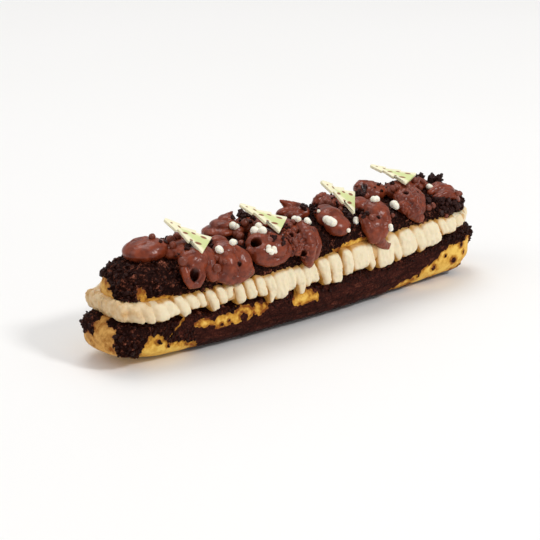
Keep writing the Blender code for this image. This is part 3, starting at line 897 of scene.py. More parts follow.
# Rolls and panels of cream along the front, from the near end: the four corners (x, z) from
# the top one towards the near end clockwise, and how far each stands proud, in mm
FOLDS = (
    # A plain run with a scalloped foot
    (((-147, 43), (-141, 43), (-137, 30), (-144, 32)), 3.4),
    (((-142, 43), (-134, 43), (-130, 29), (-137, 30)), 3.7),
    (((-135, 43), (-126, 44), (-119, 29), (-130, 29)), 3.7),
    (((-128, 44), (-120, 44), (-111, 32), (-121, 29)), 3.7),
    # Slanted rolls that lie over one another, with blunt tips
    (((-120, 45), (-111, 45), (-103, 31), (-109, 27)), 4.9),
    (((-111, 44), (-102, 44), (-96, 33), (-103, 31)), 3.8),
    (((-102, 44), (-95, 44), (-91, 32), (-96, 32)), 3.4),
    (((-95, 44), (-87, 44), (-81, 29), (-87, 26)), 4.9),
    (((-87, 45), (-79, 45), (-74, 31), (-81, 30)), 3.8),
    (((-79, 44), (-71, 44), (-71, 34), (-75, 32)), 3.2),
    (((-72, 44), (-64, 44), (-60, 29), (-67, 27)), 4.8),
    (((-64, 45), (-55, 45), (-51, 29), (-59, 29)), 4.2),
    (((-55, 45), (-47, 45), (-42, 28), (-50, 29)), 3.7),
    # A drawn-out roll with a wide panel beside it
    (((-48, 44), (-39, 44), (-35, 30), (-42, 31)), 3.6),
    (((-43, 34), (-35, 34), (-38, 23), (-41, 22)), 3.2),
    (((-40, 45), (-25, 45), (-26, 23), (-37, 24)), 4.2),
    (((-29, 45), (-21, 45), (-19, 28), (-29, 27)), 4.2),
    (((-24, 44), (-14, 44), (-10, 28), (-19, 31)), 4.0),
    (((-18, 34), (-10, 32), (-13, 23), (-16, 23)), 3.4),
    (((-15, 45), (-7, 45), (-5, 27), (-11, 27)), 3.4),
    (((-10, 45), (-3, 45), (2, 29), (-7, 29)), 3.8),
    (((-3, 46), (8, 46), (12, 26), (6, 24)), 4.9),
    (((6, 47), (19, 47), (23, 31), (12, 31)), 4.2),
    (((11, 35), (21, 35), (22, 24), (13, 25)), 3.8),
    (((20, 48), (29, 48), (33, 28), (24, 27)), 4.9),
    # Wide panels, each over a thin ridge with a pointed foot
    (((28, 48), (45, 48), (49, 29), (33, 28)), 4.2),
    (((40, 48), (49, 48), (55, 26), (51, 24)), 3.3),
    (((53, 45), (71, 45), (74, 26), (57, 24)), 4.3),
    (((62, 50), (74, 50), (83, 28), (78, 24)), 3.4),
    (((74, 49), (89, 50), (98, 30), (82, 26)), 4.3),
    (((87, 50), (98, 50), (106, 31), (100, 26)), 3.4),
    (((96, 50), (113, 51), (121, 32), (103, 29)), 4.3),
    (((112, 51), (120, 51), (128, 37), (121, 35)), 3.2),
    (((120, 50), (132, 50), (135, 37), (125, 36)), 3.6),
    (((131, 50), (138, 50), (143, 40), (135, 38)), 3.0),
)


def cream_edge(x, side, proud):
    """Place (x, y) standing proud of the cream's outline seen from above."""
    def reach(at):
        plan = end_factor(at - CREAM_SHIFT, CREAM_HALF_LENGTH, CREAM_END, BASE_END_POWER)
        return sway(at) + side * mid_half_width(at) * plan
    step = 0.5 * MM
    limit = CREAM_HALF_LENGTH - step
    x = max(CREAM_SHIFT - limit, min(CREAM_SHIFT + limit, x))
    along = Vector((2.0 * step, reach(x + step) - reach(x - step))).normalized()
    outward = Vector((-along.y, along.x)) * side
    return x + outward.x * proud, reach(x) + outward.y * proud


def cream_at(x, z, side, proud):
    """Point of the cream's side; the far side is the near one turned about the middle."""
    if side > 0.0:
        turned = FOLD_TURN * MM - x
        z += soffit(turned) - soffit(x)
        x = turned
    place = cream_edge(x, side, proud)
    return Vector((place[0], place[1], z))


def build_cream_band(material):
    """Fill the slit between the halves of the bun with cream."""
    bm = ball_along_x(CREAM_RING, CREAM_STATIONS)
    layer = bm.verts.layers.float.new("crease")
    for vert in bm.verts:
        x = CREAM_SHIFT + station(ring_share(vert.co), CREAM_HALF_LENGTH, CREAM_END)
        plan = end_factor(x - CREAM_SHIFT, CREAM_HALF_LENGTH, CREAM_END, BASE_END_POWER)
        angle = math.atan2(vert.co.z, vert.co.y)
        middle = (soffit(x) + 1.5 * MM + base_top(x)) / 2.0
        tall = (soffit(x) + 1.5 * MM - base_top(x)) / 2.0 + 0.5 * MM
        wide = mid_half_width(x) + 2.0 * MM
        vert.co = Vector((x, sway(x) + wide * plan * signed_power(math.cos(angle), 0.3),
                          middle + tall * signed_power(math.sin(angle), 0.7)))
        # Painted shade over the whole band, which sits back behind the folds
        vert[layer] = BAND_SHADE
    return finish_piece("cream_band", bm, material, ("cream_filling",))


def add_fold(bm, corners, proud, side, square=0.5, subdivisions=4):
    """Add one fold of cream: a ball pressed into the four corners of its outline."""
    fold = bmesh.ops.create_icosphere(bm, subdivisions=subdivisions, radius=1.0)["verts"]
    for vert in fold:
        u, v, w = (signed_power(part, square) for part in vert.co)
        w = math.copysign(abs(w) ** 1.5, w)
        shares = ((1 - u) * (1 + v) / 4, (1 + u) * (1 + v) / 4,
                  (1 + u) * (1 - v) / 4, (1 - u) * (1 - v) / 4)
        x = sum(share * corner[0] for share, corner in zip(shares, corners))
        z = sum(share * corner[1] for share, corner in zip(shares, corners))
        # It comes out from under the upper bun and curls back at its foot.
        lean = 1.8 * max(0.0, v) ** 3 + 0.7 * max(0.0, -v) ** 4 - 0.7 * u * (w + 1.0) / 2.0
        vert.co = cream_at(x * MM, z * MM, side, ((proud + 1.5) * w - 1.5 - lean) * MM)


def build_cream_folds(name, side, cream, material):
    """Pipe the rolls and panels of cream that stand out along one side."""
    bm = bmesh.new()
    for corners, proud in FOLDS:
        add_fold(bm, corners, proud, side)
    # Plain cream round the ends, scalloped along its foot
    for end, first, last, deep in END_ROLLS:
        for step in range(ROLLS_PER_END):
            turn = step / (ROLLS_PER_END - 1.0) * math.pi / 2.0
            x = end * (first + (last - first) * math.sin(turn))
            roof = soffit(x * MM) / MM + 2.0
            floor = base_top(x * MM) / MM - 1.0 - 0.5 * (step % 2)
            if side > 0.0:
                lift = (soffit((FOLD_TURN - x) * MM) - soffit(x * MM)) / MM
                x, roof, floor = FOLD_TURN - x, roof + lift, floor + lift
            add_fold(bm, ((x - 4, roof), (x + 4, roof), (x + 4, floor), (x - 4, floor)),
                     deep, side, 0.7, 3)
        # Small rolls close the band across the very end.
        x = CREAM_SHIFT + end * (CREAM_HALF_LENGTH - 1.5 * MM)
        middle = (soffit(x) + 2.0 * MM + base_top(x)) / 2.0
        for step in range(CAP_ROLLS):
            add_ball(bm, Vector((x, sway(x) + side * 4.5 * step * MM, middle)),
                     ((deep + 1.6 - 0.15 * step) * MM, 3.6 * MM,
                      soffit(x) + 2.5 * MM - middle + 0.4 * (step % 2) * MM), 3)
    bm = fuse(bm, CREAM_VOXEL, 3)
    # Painted shade, stored as crease, is deeper in the creases between rolls. The near end is
    # also tinted towards the crease colour.
    layer = bm.verts.layers.float.new("crease")
    for vert in bm.verts:
        edge = cream_edge(vert.co.x, side, cream.proud)[1]
        depth = (edge - vert.co.y) * side
        near_end = CREAM_HALF_LENGTH - abs(vert.co.x - CREAM_SHIFT) < 22 * MM
        shade = 0.1 if near_end else smooth(1.3 * MM, 3.2 * MM, depth)
        # Faces turned to the near end get painted shade, as in the shade of the next roll.
        shade += 0.8 * max(0.0, -vert.normal.x - 0.2) * (0.0 if near_end else 1.0)
        tan = smooth(122 * MM, 152 * MM, -vert.co.x) * (0.75 + 0.5 * wave(vert.co, 4 * MM))
        vert[layer] = max(0.0, min(1.0, shade * 0.9 + tan * 0.6))
        ripple = 0.5 * MM * wave(vert.co, 4.2 * MM) + 0.2 * MM * wave(vert.co, 1.6 * MM)
        ripple += 0.55 * MM * (0.45 - crumbly(vert.co, 4.5 * MM, 6.0))
        # Fine flutes left by the nozzle, slanted like the rolls
        flute = Vector((vert.co.x + 0.3 * vert.co.z, 0.0, 0.2 * vert.co.z))
        ripple += 0.5 * MM * wave(flute, 2.6 * MM, 3.0)
        pore = 1.1 * MM * max(0.0, tan) * (crumbly(vert.co, 1.7 * MM) - 0.5)
        vert.co += vert.normal * (ripple + pore)
    return finish_piece(name, bm, material)


# ---------------------------------------------------------------- ganache

# Each dollop: its place on the dome (x, arc from the crown line, front negative), the eggs
# of ganache it is built on as (dx, ds, lift, half x, half s, half height), the strokes laid
# on them as rows of (dx, ds, lift, radius), hollows as (dx, ds, lift, radius, depth), how
# lumpy it is as (height, size, dx where the lumps stop), and how streaky its skin is. ds
# runs up the dome; everything is in mm.
DOLLOPS = {
    # A smooth round dome whose last turn folds over its far shoulder
    "ganache_end": {
        "at": (-117, 1),
        "eggs": [(0, 0, 4.5, 15, 14, 7.5), (3, -2, 6.5, 12, 11.5, 6)],
        "strokes": [[(-11.5, 0, 7.2, 1.9), (-8, -2, 9.6, 1.9), (-3, -4, 11, 1.5)],
                    [(-9, 4, 8.2, 3), (-4, 4, 9.4, 3.6), (3, 3, 9, 4)]],
        "streak": 0.12},
    # A long tongue that ends in a curled lip round a hollow
    "ganache_front_1": {
        "at": (-98, -24),
        "eggs": [(2, 12, 4, 10, 10, 7), (2, 2, 5, 11, 9.5, 7), (12, 3, 4, 7, 9.5, 6),
                 (-5, 15, 3, 6, 6, 5.5), (-2, -3, 3.4, 9, 8, 5)],
        "strokes": [[(-9, -2, 5.4, 3), (-9.5, -6.5, 5, 2.6), (-6.5, -10, 4, 2.6),
                     (-1, -10.5, 4, 2.6), (2.5, -7, 5, 2.6), (2, -3, 6.4, 3),
                     (-4, -2, 7, 2.8)],
                    [(12, 0, 5, 5), (10, -5, 4.5, 4.8), (11, -9, 3.5, 3.8)]],
        "hollows": [(-4, -6.2, 5, 3.3, 8)]},
    # Two lobes side by side under a smaller one
    "ganache_front_2": {
        "at": (-70, -28),
        "eggs": [(-4, -1, 4.5, 8, 10, 7), (6, -2, 4.5, 8, 10.5, 7), (1, 15, 4, 7, 6, 5.5),
                 (-1, 6, 5, 9, 8, 6.5)],
        "strokes": [[(-11, -6, 4, 4), (-4, -9, 3.5, 4.2), (4, -9, 3.8, 4.4),
                     (11, -7, 4, 4.4)],
                    [(-9, 5, 7, 2.4), (-4, 1, 9.2, 2.2), (-3, -6, 8.8, 2.2)],
                    [(3, 6, 9, 2.2), (7, 1, 9.6, 2.2), (8, -6, 8.6, 2.2)],
                    [(-17, 1, 4, 4), (-16, -5, 3.5, 3.5)]],
        "hollows": [(-14, 2, 7, 2.8, 5), (1, -3, 10, 1.6, 2)]},
    # A triangle with a rolled lower lip and a deep hole in its near corner
    "ganache_front_3": {
        "at": (-40, -28),
        "eggs": [(-2, 6, 4, 10, 8, 6.4), (7, 1, 5, 10, 8.6, 6.6), (-3, 0, 4.4, 10, 6.5, 6),
                 (5, 12, 3.4, 10, 8, 5)],
        "strokes": [[(-12, 3, 3, 3), (-9, -3, 3, 3.2), (-3.5, -5.5, 3, 3.2),
                     (3.5, -6.5, 3, 3.2), (10, -6, 3, 3.2), (16, -4, 3, 2.6)],
                    [(6, 6, 9, 2.4), (12, 1, 8.6, 2.4), (17, -3, 5, 2.2)]],
        "hollows": [(-7.5, 4.5, 8, 3.2, 14)]},
    # A crumbly half on the near side and a smooth tongue on the far side
    "ganache_front_4": {
        "at": (-11, -29),
        "eggs": [(-1, 2, 2.5, 11, 13, 5), (-1, 17, 3, 10, 8, 5.5)],
        "strokes": [[(-3, 16, 4, 5), (-6, 8, 4.5, 5), (-9, 3, 4.5, 5), (-8, -2, 4, 5)],
                    [(-12, 6, 3, 4), (-11, -1, 3, 4)],
                    [(7, 14, 4.4, 4.4), (7, 8, 6, 5), (4.5, 2, 6.6, 5.2), (2.5, -4, 6, 5),
                     (1, -8, 4.2, 4.6), (3, -12, 2.8, 3.8)],
                    [(7, -8, 2.6, 4), (11, -3, 2.5, 4.4), (13, 5, 3, 4.4)]],
        "hollows": [(-1, 6, 8, 2.2, 7), (-4, -5, 8, 2, 6), (-8, 4, 8, 1.8, 5)],
        "lumpy": (2.2, 3.4, -1)},
    # A smooth egg-shaped drop
    "ganache_front_5": {
        "at": (20, -22),
        "eggs": [(7, 13, 4, 8, 8, 5.8), (4, 5, 5, 10, 9.5, 6.8), (3.5, -2.5, 4.5, 9.8, 9, 6.2)],
        "strokes": [], "streak": 0.12},
    # A lobe behind, a ridge on the far side and a tail that drips over the cream
    "ganache_front_6": {
        "at": (53, -26),
        "eggs": [(3, 15, 4, 8.5, 8, 6.5), (9, 5, 4.4, 9.5, 11, 7), (2, -4, 3.6, 9, 9, 6)],
        "strokes": [[(12, 11, 5.5, 5), (12, 3, 6, 5.4), (9, -3, 5.5, 5.4), (4, -7, 5, 5)],
                    [(-5, 2, 4.5, 4), (-6, -4, 4, 4.5), (-2, -9, 4, 5)],
                    [(1.5, -8, 4, 4.8), (4, -12, 3.4, 4.6), (8, -16, 2.8, 4),
                     (12, -18, 2.4, 3.4), (15.5, -17.5, 2, 2.6)]],
        "hollows": [(-3, 7, 9, 2.6, 6), (3, -1, 10, 1.6, 2.4)]},
    # Twisted ridges round a gap, with a blunt tip
    "ganache_front_7": {
        "at": (93, -18.5),
        "eggs": [(6, 15, 5, 10, 8.5, 7), (4, 2, 4.4, 10.5, 11, 6.4), (2, -7, 3.4, 8, 6, 5.4)],
        "strokes": [[(-3, 18, 4.6, 3.6), (3, 20, 6.4, 3.6), (11, 18, 7.4, 3.6)],
                    [(10, 9, 8, 3), (7, 3, 9, 3), (4, -3, 8.4, 3.2), (1, -7, 6, 3.4)],
                    [(15, 7, 6, 3), (13, -1, 6, 3), (8, -7, 4.5, 3.2)],
                    [(-6, -3, 4, 4.5), (-2, -8, 3.5, 4.6), (4, -11, 3, 4)]],
        "hollows": [(0.5, 2, 11, 2, 5), (11, 2, 9, 1.6, 4)], "lumpy": (0.9, 3.4, 30)},
    # Three ridges laid side by side
    "ganache_front_8": {
        "at": (131, -15),
        "eggs": [(2, -1, 2.2, 9, 9, 4.8)],
        "strokes": [[(-5, 6, 2.6, 2.6), (2, 6, 4.4, 2.8), (8, 4, 3.6, 2.6)],
                    [(-9, 1, 2.4, 2.6), (-1, 1, 5, 3), (7, -1, 4.6, 3), (10, -3, 2, 2.6)],
                    [(-9, -5, 2, 2.8), (-1, -5, 4, 3), (7, -7, 3, 2.8),
                     (10, -8, 1, 2.4)]],
        "streak": 0.3},
    # Two rough lobes side by side
    "ganache_back_1": {
        "at": (-90, 3),
        "eggs": [(-5, -3, 4, 7.5, 8, 6), (6, 0, 3, 7.5, 9, 5.5)],
        "strokes": [[(-9, -5, 6, 3), (-2, -3, 7, 3), (6, -1, 5, 3)]],
        "lumpy": (0.8, 2.6, 30)},
    # Two flat turns with a small peak leaning off the top
    "ganache_back_2": {
        "at": (-51, 9),
        "eggs": [(-1, -2, 3, 12, 12, 4.6), (8, -5, 3, 8, 9, 6), (2, -3, 7.6, 9.5, 9, 3.6),
                 (5, -3, 11, 6, 5.6, 2.6)],
        "strokes": [[(6, -3, 12, 2.4), (8.5, -3, 13, 1.6), (10.5, -2.5, 14, 0.7)]]},
    # A wide rough mound with a ridge along it
    "ganache_back_3": {
        "at": (-25, 5),
        "eggs": [(-8, -3, 4, 8, 9, 6), (3, 0, 3, 9.5, 10.5, 5.5)],
        "strokes": [[(-12, 0, 6, 2.8), (-6, 1, 8.5, 2.8), (1, 0, 7.5, 2.8)]],
        "lumpy": (1.0, 3.0, 30)},
    # Drawn out to a point towards the near end
    "ganache_back_4": {
        "at": (12, 10),
        "eggs": [(0, -3, 2.5, 12.5, 11, 5)],
        "strokes": [[(-9, -1, 13.2, 0.6), (-7.5, -1, 12, 1.4), (-4.5, -1.5, 9.8, 2.8),
                     (1, -3, 6.4, 4.6), (8, -3, 3, 5)],
                    [(-13, -4, 5.5, 1.8), (-9, -4, 5.5, 3.2), (-3, -5.5, 4.2, 4.4),
                     (4, -9, 3, 5)]],
        "streak": 0.35},
    # Two rough lobes, the near one cut off blunt
    "ganache_back_5": {
        "at": (46, 11),
        "eggs": [(-5, -4, 4, 9, 9.5, 6.5), (5, -5, 2.5, 7, 9, 6)],
        "strokes": [[(-13, -4, 6, 2.6), (-10.5, -4, 9.6, 2.6), (-5, -3.5, 9.6, 2.6)],
                    [(-11, -8, 6, 2.4), (-5, -8, 7, 2.6), (1, -8, 5, 2.4)]],
        "lumpy": (0.9, 2.8, 30)},
    # A big smooth dome with its tip folded back towards the near end
    "ganache_back_6": {
        "at": (83, 10),
        "eggs": [(1, -3, 4, 12.5, 11.5, 7.4), (-5, -3, 8, 8, 8, 5)],
        "strokes": [[(2, -3, 8.5, 4), (-3, -3, 10.5, 3.4), (-8, -2.5, 12.4, 2.4),
                     (-13, -3, 11.6, 1.2)],
                    [(-9, -8, 4, 3.4), (-13, -4, 6, 3)]],
        "hollows": [(-9, -7, 9, 2.4, 3)], "streak": 0.15},
    # Two rough lobes with a ridge along the back and another along the front
    "ganache_back_7": {
        "at": (108, 4),
        "eggs": [(2, -2, 3.5, 10, 10, 6), (13, -2, 4, 8.5, 9, 6)],
        "strokes": [[(3, 0, 8, 2.8), (11, 0, 8.6, 2.8), (18, -1, 6, 2.8)],
                    [(5, -8, 5, 2.6), (13, -8, 5.4, 2.8), (19, -8, 3.5, 2.6)]],
        "lumpy": (0.9, 2.8, 30)},
}


def build_dollop(node, row, ganache, material):
    """Pipe one dollop: eggs and nozzle strokes that run together on the dome."""
    x, arc = row["at"]
    arcs = {}

    def place(dx, ds, lift):
        key = round(x + dx, 1)
        if key not in arcs:
            arcs[key] = crown_arc(key * MM)
        return on_dome(key * MM, (arc + ds) * MM, lift * MM, arcs[key])

    bm = bmesh.new()
    for dx, ds, lift, rx, rs, rn in row["eggs"]:
        centre = place(dx, ds, lift)
        up = (place(dx, ds, lift + 1.0) - centre).normalized()
        turn = Vector((0.0, 0.0, 1.0)).rotation_difference(up).to_matrix()
        add_ball(bm, centre, (rx * MM, rs * MM, rn * MM), 4, turn)
    for stroke in row["strokes"]:
        for first, last in zip(stroke, stroke[1:]):
            gap = math.dist(first[:3], last[:3])
            steps = max(1, int(gap / (0.3 * min(first[3], last[3]) + 0.2)))
            for step in range(steps + 1):
                t = step / steps
                dx, ds, lift, radius = (a + (b - a) * t for a, b in zip(first, last))
                add_ball(bm, place(dx, ds, lift), radius * MM, 2)
    bm = fuse(bm, ganache.voxel, 2)
    hollows = [(place(dx, ds, lift), radius * MM, depth * MM)
               for dx, ds, lift, radius, depth in row.get("hollows", ())]
    high, size, until = row.get("lumpy", (0.0, 2.0, 0.0))
    streak = row.get("streak", 0.25)
    down = (place(0, 0, 0) - place(0, 0, 1.0)).normalized()
    # How far inside a hollow a point is, for the material's painted shade
    layer = bm.verts.layers.float.new("hollow")
    for vert in bm.verts:
        rise = 0.9 * streak * MM * wave(vert.co, 4.5 * MM, x)
        rise += 0.8 * streak * MM * wave(vert.co, 1.8 * MM)
        if high:
            part = 1.0 - smooth((x + until - 2.0) * MM, (x + until + 2.0) * MM, vert.co.x)
            rise += high * part * MM * (crumbly(vert.co, size * MM, x) - 0.4)
        vert.co += vert.normal * rise
        for centre, radius, depth in hollows:
            away = vert.co - centre
            away -= down * away.dot(down)
            if vert.normal.dot(down) < 0.1:
                vert.co += down * depth * (1.0 - smooth(0.35, 1.15, away.length / radius))
                vert[layer] = max(vert[layer], 1.0 - smooth(0.8, 1.2, away.length / radius))
    return finish_piece(node + "_piped", bm, material, (node,))


# ---------------------------------------------------------------- plaques

# Each plaque: the middle of its foot and the way it points, in mm, and how far it is
# turned about its length, in degrees
PLAQUES = {
    "tree_1": ((-85.5, -23.0, 68.8), (-17.6, 18.8, 15.8), 18),
    "tree_2": ((-21.5, -22.5, 69.8), (-19.0, 21.6, 12.7), 15),
    "tree_3": ((44.5, -18.3, 72.0), (-28.0, 6.0, 20.6), 44),
    "tree_4": ((107.5, -9.0, 75.2), (-11.0, 23.5, 5.0), 7),
}
PLAQUE_LENGTH = 32 * MM
PLAQUE_WIDTH = 20 * MM
PLAQUE_THICKNESS = 2.2 * MM
PLAQUE_TIERS = 3
TIER_OVERHANG = 2.2 * MM
PLAQUE_TIP = 2.4 * MM
PLAQUE_CORNER = 0.9 * MM
PLAQUE_EDGE = 0.5 * MM


def build_plaque(node, row, material):
    """Cut a fir tree from a thin sheet of white chocolate and soften its edges."""
    foot = Vector(row[0]) * MM
    along = Vector(row[1]).normalized()
    level = along.cross(Vector((0.0, 0.0, 1.0))).normalized()
    across = Matrix.Rotation(math.radians(-row[2]), 3, along) @ -level
    upward = along.cross(across).normalized()
    tier = PLAQUE_LENGTH / PLAQUE_TIERS
    slope = (PLAQUE_WIDTH - PLAQUE_TIP) / 2.0 / PLAQUE_TIERS
    levels = []
    for step in range(PLAQUE_TIERS):
        low = PLAQUE_WIDTH / 2.0 - step * slope
        inset = 0.0 if step == PLAQUE_TIERS - 1 else TIER_OVERHANG
        levels += [(step * tier, low), ((step + 1) * tier, low - slope - inset)]
    outline = [(-half, reach) for reach, half in reversed(levels)]
    outline += [(half, reach) for reach, half in levels]
    bm = bmesh.new()
    verts = [bm.verts.new((reach, side, 0.0)) for side, reach in outline]
    bm.faces.new(verts)
    bmesh.ops.bevel(bm, geom=verts, offset=PLAQUE_CORNER, segments=4, profile=0.5,
                    affect="VERTICES", material=-1)
    slab = bmesh.ops.extrude_face_region(bm, geom=bm.faces[:])
    lifted = [item for item in slab["geom"] if isinstance(item, bmesh.types.BMVert)]
    bmesh.ops.translate(bm, verts=lifted, vec=(0.0, 0.0, PLAQUE_THICKNESS))
    bmesh.ops.recalc_face_normals(bm, faces=bm.faces)
    rims = [edge for edge in bm.edges
            if abs(edge.verts[0].co.z - edge.verts[1].co.z) < 0.1 * MM]
    bmesh.ops.bevel(bm, geom=rims, offset=PLAQUE_EDGE, segments=3, profile=0.5,
                    affect="EDGES", material=-1)
    layer = bm.loops.layers.uv.new("plaque")
    for face in bm.faces:
        for loop in face.loops:
            loop[layer].uv = (loop.vert.co.x / MM, loop.vert.co.y / MM)
    turn = Matrix((along, across, upward)).transposed().to_4x4()
    turn.translation = foot
    bmesh.ops.transform(bm, matrix=turn, verts=bm.verts)
    return finish_piece(node + "_plaque", bm, material, (node,), 30)


# ---------------------------------------------------------------- toppings

# The eclair is seen, and its toppings are pressed on, from the front and a little above.
# BACK points back from it to whoever looks, and RIGHT to their right.
AZIMUTH, ELEVATION = math.radians(39.0), math.radians(19.0)
BACK = Vector((-math.sin(AZIMUTH) * math.cos(ELEVATION),
               -math.cos(AZIMUTH) * math.cos(ELEVATION), math.sin(ELEVATION)))
RIGHT = Vector((math.cos(AZIMUTH), -math.sin(AZIMUTH), 0.0))
# Where a topping starts in front of its place, and how far it may travel, in mm
PUSH_FROM, PUSH_REACH = 60, 130

# White crispies: a point near their middle and the balls that stuck together, as
# (dx, dz, radius), in mm
WHITE_CRISPIES = (
    ((-80, -29, 67), ((0, 0, 2.6), (1.2, -0.6, 2.2))),
    ((-67, -27, 68.5), ((0, 0, 2.4), (0.8, 0.4, 2.2))),
    ((-53.5, -8.5, 73.5), ((0, 0.4, 2.6), (2.6, -1.4, 2.6))),
    ((-40, -20, 70.5), ((-2.6, -1.6, 3.0), (2.6, -1.8, 3.0), (0.2, 1.6, 2.8))),
    ((-42.5, -36, 61.5), ((-1.6, 1.4, 1.9), (1.8, 0.8, 1.9), (0.0, -1.6, 2.0),
                          (2.8, -1.0, 1.5), (-2.2, -0.6, 1.5))),
    ((-7.5, -21, 71.5), ((-1.6, 0.0, 2.2), (0.8, -0.4, 2.2))),
    ((-3, -25, 70), ((0, 0, 2.3), (1.8, -0.6, 2.2))),
    ((14, -18.5, 72.5), ((0, 0, 1.3),)),
    ((14, -30, 68), ((-1.8, 1.0, 2.9), (0.0, 0.0, 3.2), (1.8, -1.0, 3.0))),
    ((34, -34, 65.5), ((0, 0.8, 2.2), (0.2, -0.8, 2.2))),
    ((23.5, -37, 62), ((0, 0, 1.6),)),
    ((62, -21, 71.5), ((-0.8, 0, 2.4), (1.2, 0.2, 2.4))),
    ((75, -29.5, 67.5), ((-0.8, 0, 3.2), (1.4, 0.2, 2.6))),
    ((60.5, -38.5, 57), ((0, 0.9, 1.8), (0.3, -0.9, 1.8))),
    ((116, -21, 72), ((0, 0, 2.2), (0.8, -0.2, 1.9))),
)

# Brown crispies: a point in front of each and its radius, in mm
BROWN_CRISPIES = (
    (-103, 10, 70, 2.4), (152, -12, 57, 2.4), (-101, -6, 72, 3.2), (-94, -3, 72, 3.0),
    (-104, -13, 71, 2.6), (-107, -28, 65, 3.4), (-87, -35, 58, 3.0), (-83, -31, 63, 2.4),
    (-56, -16, 71, 3.2), (-57, -21, 69, 3.2), (-60, -26, 67, 2.4), (-52, -13, 71, 2.6),
    (-41, -7, 72, 3.0), (-36, -11, 71, 2.4), (-5, -11, 72, 2.8), (-11, -20, 70, 2.0),
    (-16, -22, 69, 2.4), (-14, -26, 67, 2.2), (33, -2, 72, 2.6), (32, -7, 72, 2.6),
    (29, -4, 72, 2.2), (38, -11, 72, 2.2), (33, -19, 70, 2.4), (49, -32, 64, 2.6),
    (92, -8, 71, 2.4), (96, -6, 71, 2.6), (113, -13, 71, 2.4), (116, -4, 72, 2.6),
    (120, -8, 72, 2.2), (124, -10, 72, 2.0), (103, -33, 62, 2.6), (108, -32, 62, 2.2),
    (118, -36, 54, 1.8), (135, -29, 65, 2.0), (-78, -33, 60, 1.8), (-20, -34, 61, 2.0),
    (70, -32, 62, 1.8),
)

# Crumbs piled up where a shard of crust stands on end: place of its top, how many deep and
# their size in mm
CRUMB_PILES = (
    (138, 2, 70, 5, 2.5), (141, 2, 70, 5, 2.5), (144, 1, 69.5, 5, 2.5), (147, 1, 69, 4, 2.0),
    (127, 4, 71.5, 5, 2.1), (130, 4, 71, 5, 2.2), (-100, 6, 68.5, 4, 1.8),
)

# Clusters of dark crumbs: a point in front of each, how many, spread and size in mm
CRUMB_CLUSTERS = (
    ((-82, 23, 68), 5, 1.6, 1.5), ((-87, 8, 70), 7, 2.2, 1.8), ((-103, -2, 71), 6, 2.0, 1.5),
    ((-94, -15, 69), 7, 2.0, 1.5), ((-79, -17, 69), 7, 2.2, 1.6), ((-104, -20, 66), 6, 3, 1.2),
    ((-28, 12, 70), 4, 1.6, 2.6), ((-23, 12, 70), 4, 1.6, 2.4), ((-33, 4, 71), 5, 2.0, 2.2),
    ((-26, 3, 71), 5, 2.0, 2.2), ((-36, -19, 69), 7, 2.4, 1.5), ((-32, -26, 66), 7, 2.4, 1.5),
    ((-28, -31, 63), 6, 2.4, 1.4), ((-18, -22, 68), 7, 2.2, 1.5), ((14, -2, 71), 6, 1.4, 2.0),
    ((17, -9, 71), 8, 2.2, 1.6), ((23, 0, 71), 8, 2.4, 1.6), ((38, -10, 71), 6, 2.0, 1.4),
    ((35, -26, 67), 8, 2.6, 1.5), ((36, -21, 69), 7, 2.4, 1.5), ((68, 2, 71), 9, 1.8, 1.6),
    ((67, -2, 71), 6, 1.8, 1.4), ((48, -27, 66), 8, 1.8, 1.5), ((48, -23, 68), 6, 1.8, 1.3),
    ((128, 8, 71), 7, 2.0, 1.6), ((131, 3, 71), 7, 2.0, 1.6), ((145, 11, 69), 8, 2.0, 1.7),
    ((149, 6, 69), 8, 2.0, 1.7), ((152, 2, 69), 5, 1.6, 1.5), ((114, -28, 65), 8, 2.4, 1.7),
    ((119, -31, 63), 8, 2.4, 1.8), ((125, -32, 61), 8, 2.4, 1.9), ((130, -33, 59), 9, 2.6, 2.0),
    ((135, -33, 57), 9, 2.6, 2.0), ((107, -30, 63), 7, 2.4, 2.0), ((117, -34, 58), 7, 2.4, 2.0),
    ((124, -34, 56), 7, 2.4, 2.2), ((102, 5, 71), 6, 2.0, 1.4),
    ((71, -31, 62), 6, 2.4, 1.3), ((24, -4, 71), 5, 2.0, 1.3),
    ((-30, 14, 66), 8, 5.0, 1.6), ((60, 22, 66), 10, 8.0, 1.4), ((-60, 26, 62), 10, 8.0, 1.4),
    ((10, 27, 62), 10, 8.0, 1.4), ((105, 22, 64), 10, 8.0, 1.5),
)


def surface(names):
    """Search tree over the skins of the named pieces."""
    graph = bpy.context.evaluated_depsgraph_get()
    bm = bmesh.new()
    for name in names:
        bm.from_object(bpy.data.objects[name], graph)
    tree = BVHTree.FromBMesh(bm)
    bm.free()
    return tree


def settle(tree, point):
    """Where a topping pushed on at a point comes to rest: (place, normal) or None."""
    start = point + BACK * PUSH_FROM * MM
    place, normal, _, _ = tree.ray_cast(start, -BACK, PUSH_REACH * MM)
    return (place, normal) if place is not None else None


def build_white_crispies(tree, topping):
    """Stick the white crispies on as one joined piece; dx runs along RIGHT."""
    bm = bmesh.new()
    right = Vector((0.777, -0.629, 0.0))
    for centre, balls in WHITE_CRISPIES:
        for dx, dz, radius in balls:
            spot = Vector(centre) * MM + right * dx * MM + Vector((0, 0, dz * MM))
            found = settle(tree, spot)
            if found:
                add_ball(bm, found[0] + found[1] * radius * 0.45 * MM, radius * MM, 3)
    bm = fuse(bm, 0.35 * MM, 3)
    for vert in bm.verts:
        vert.co += vert.normal * 0.18 * MM * wave(vert.co, 1.8 * MM)
    return finish_piece("white_crispies", bm, white_material(topping.white))


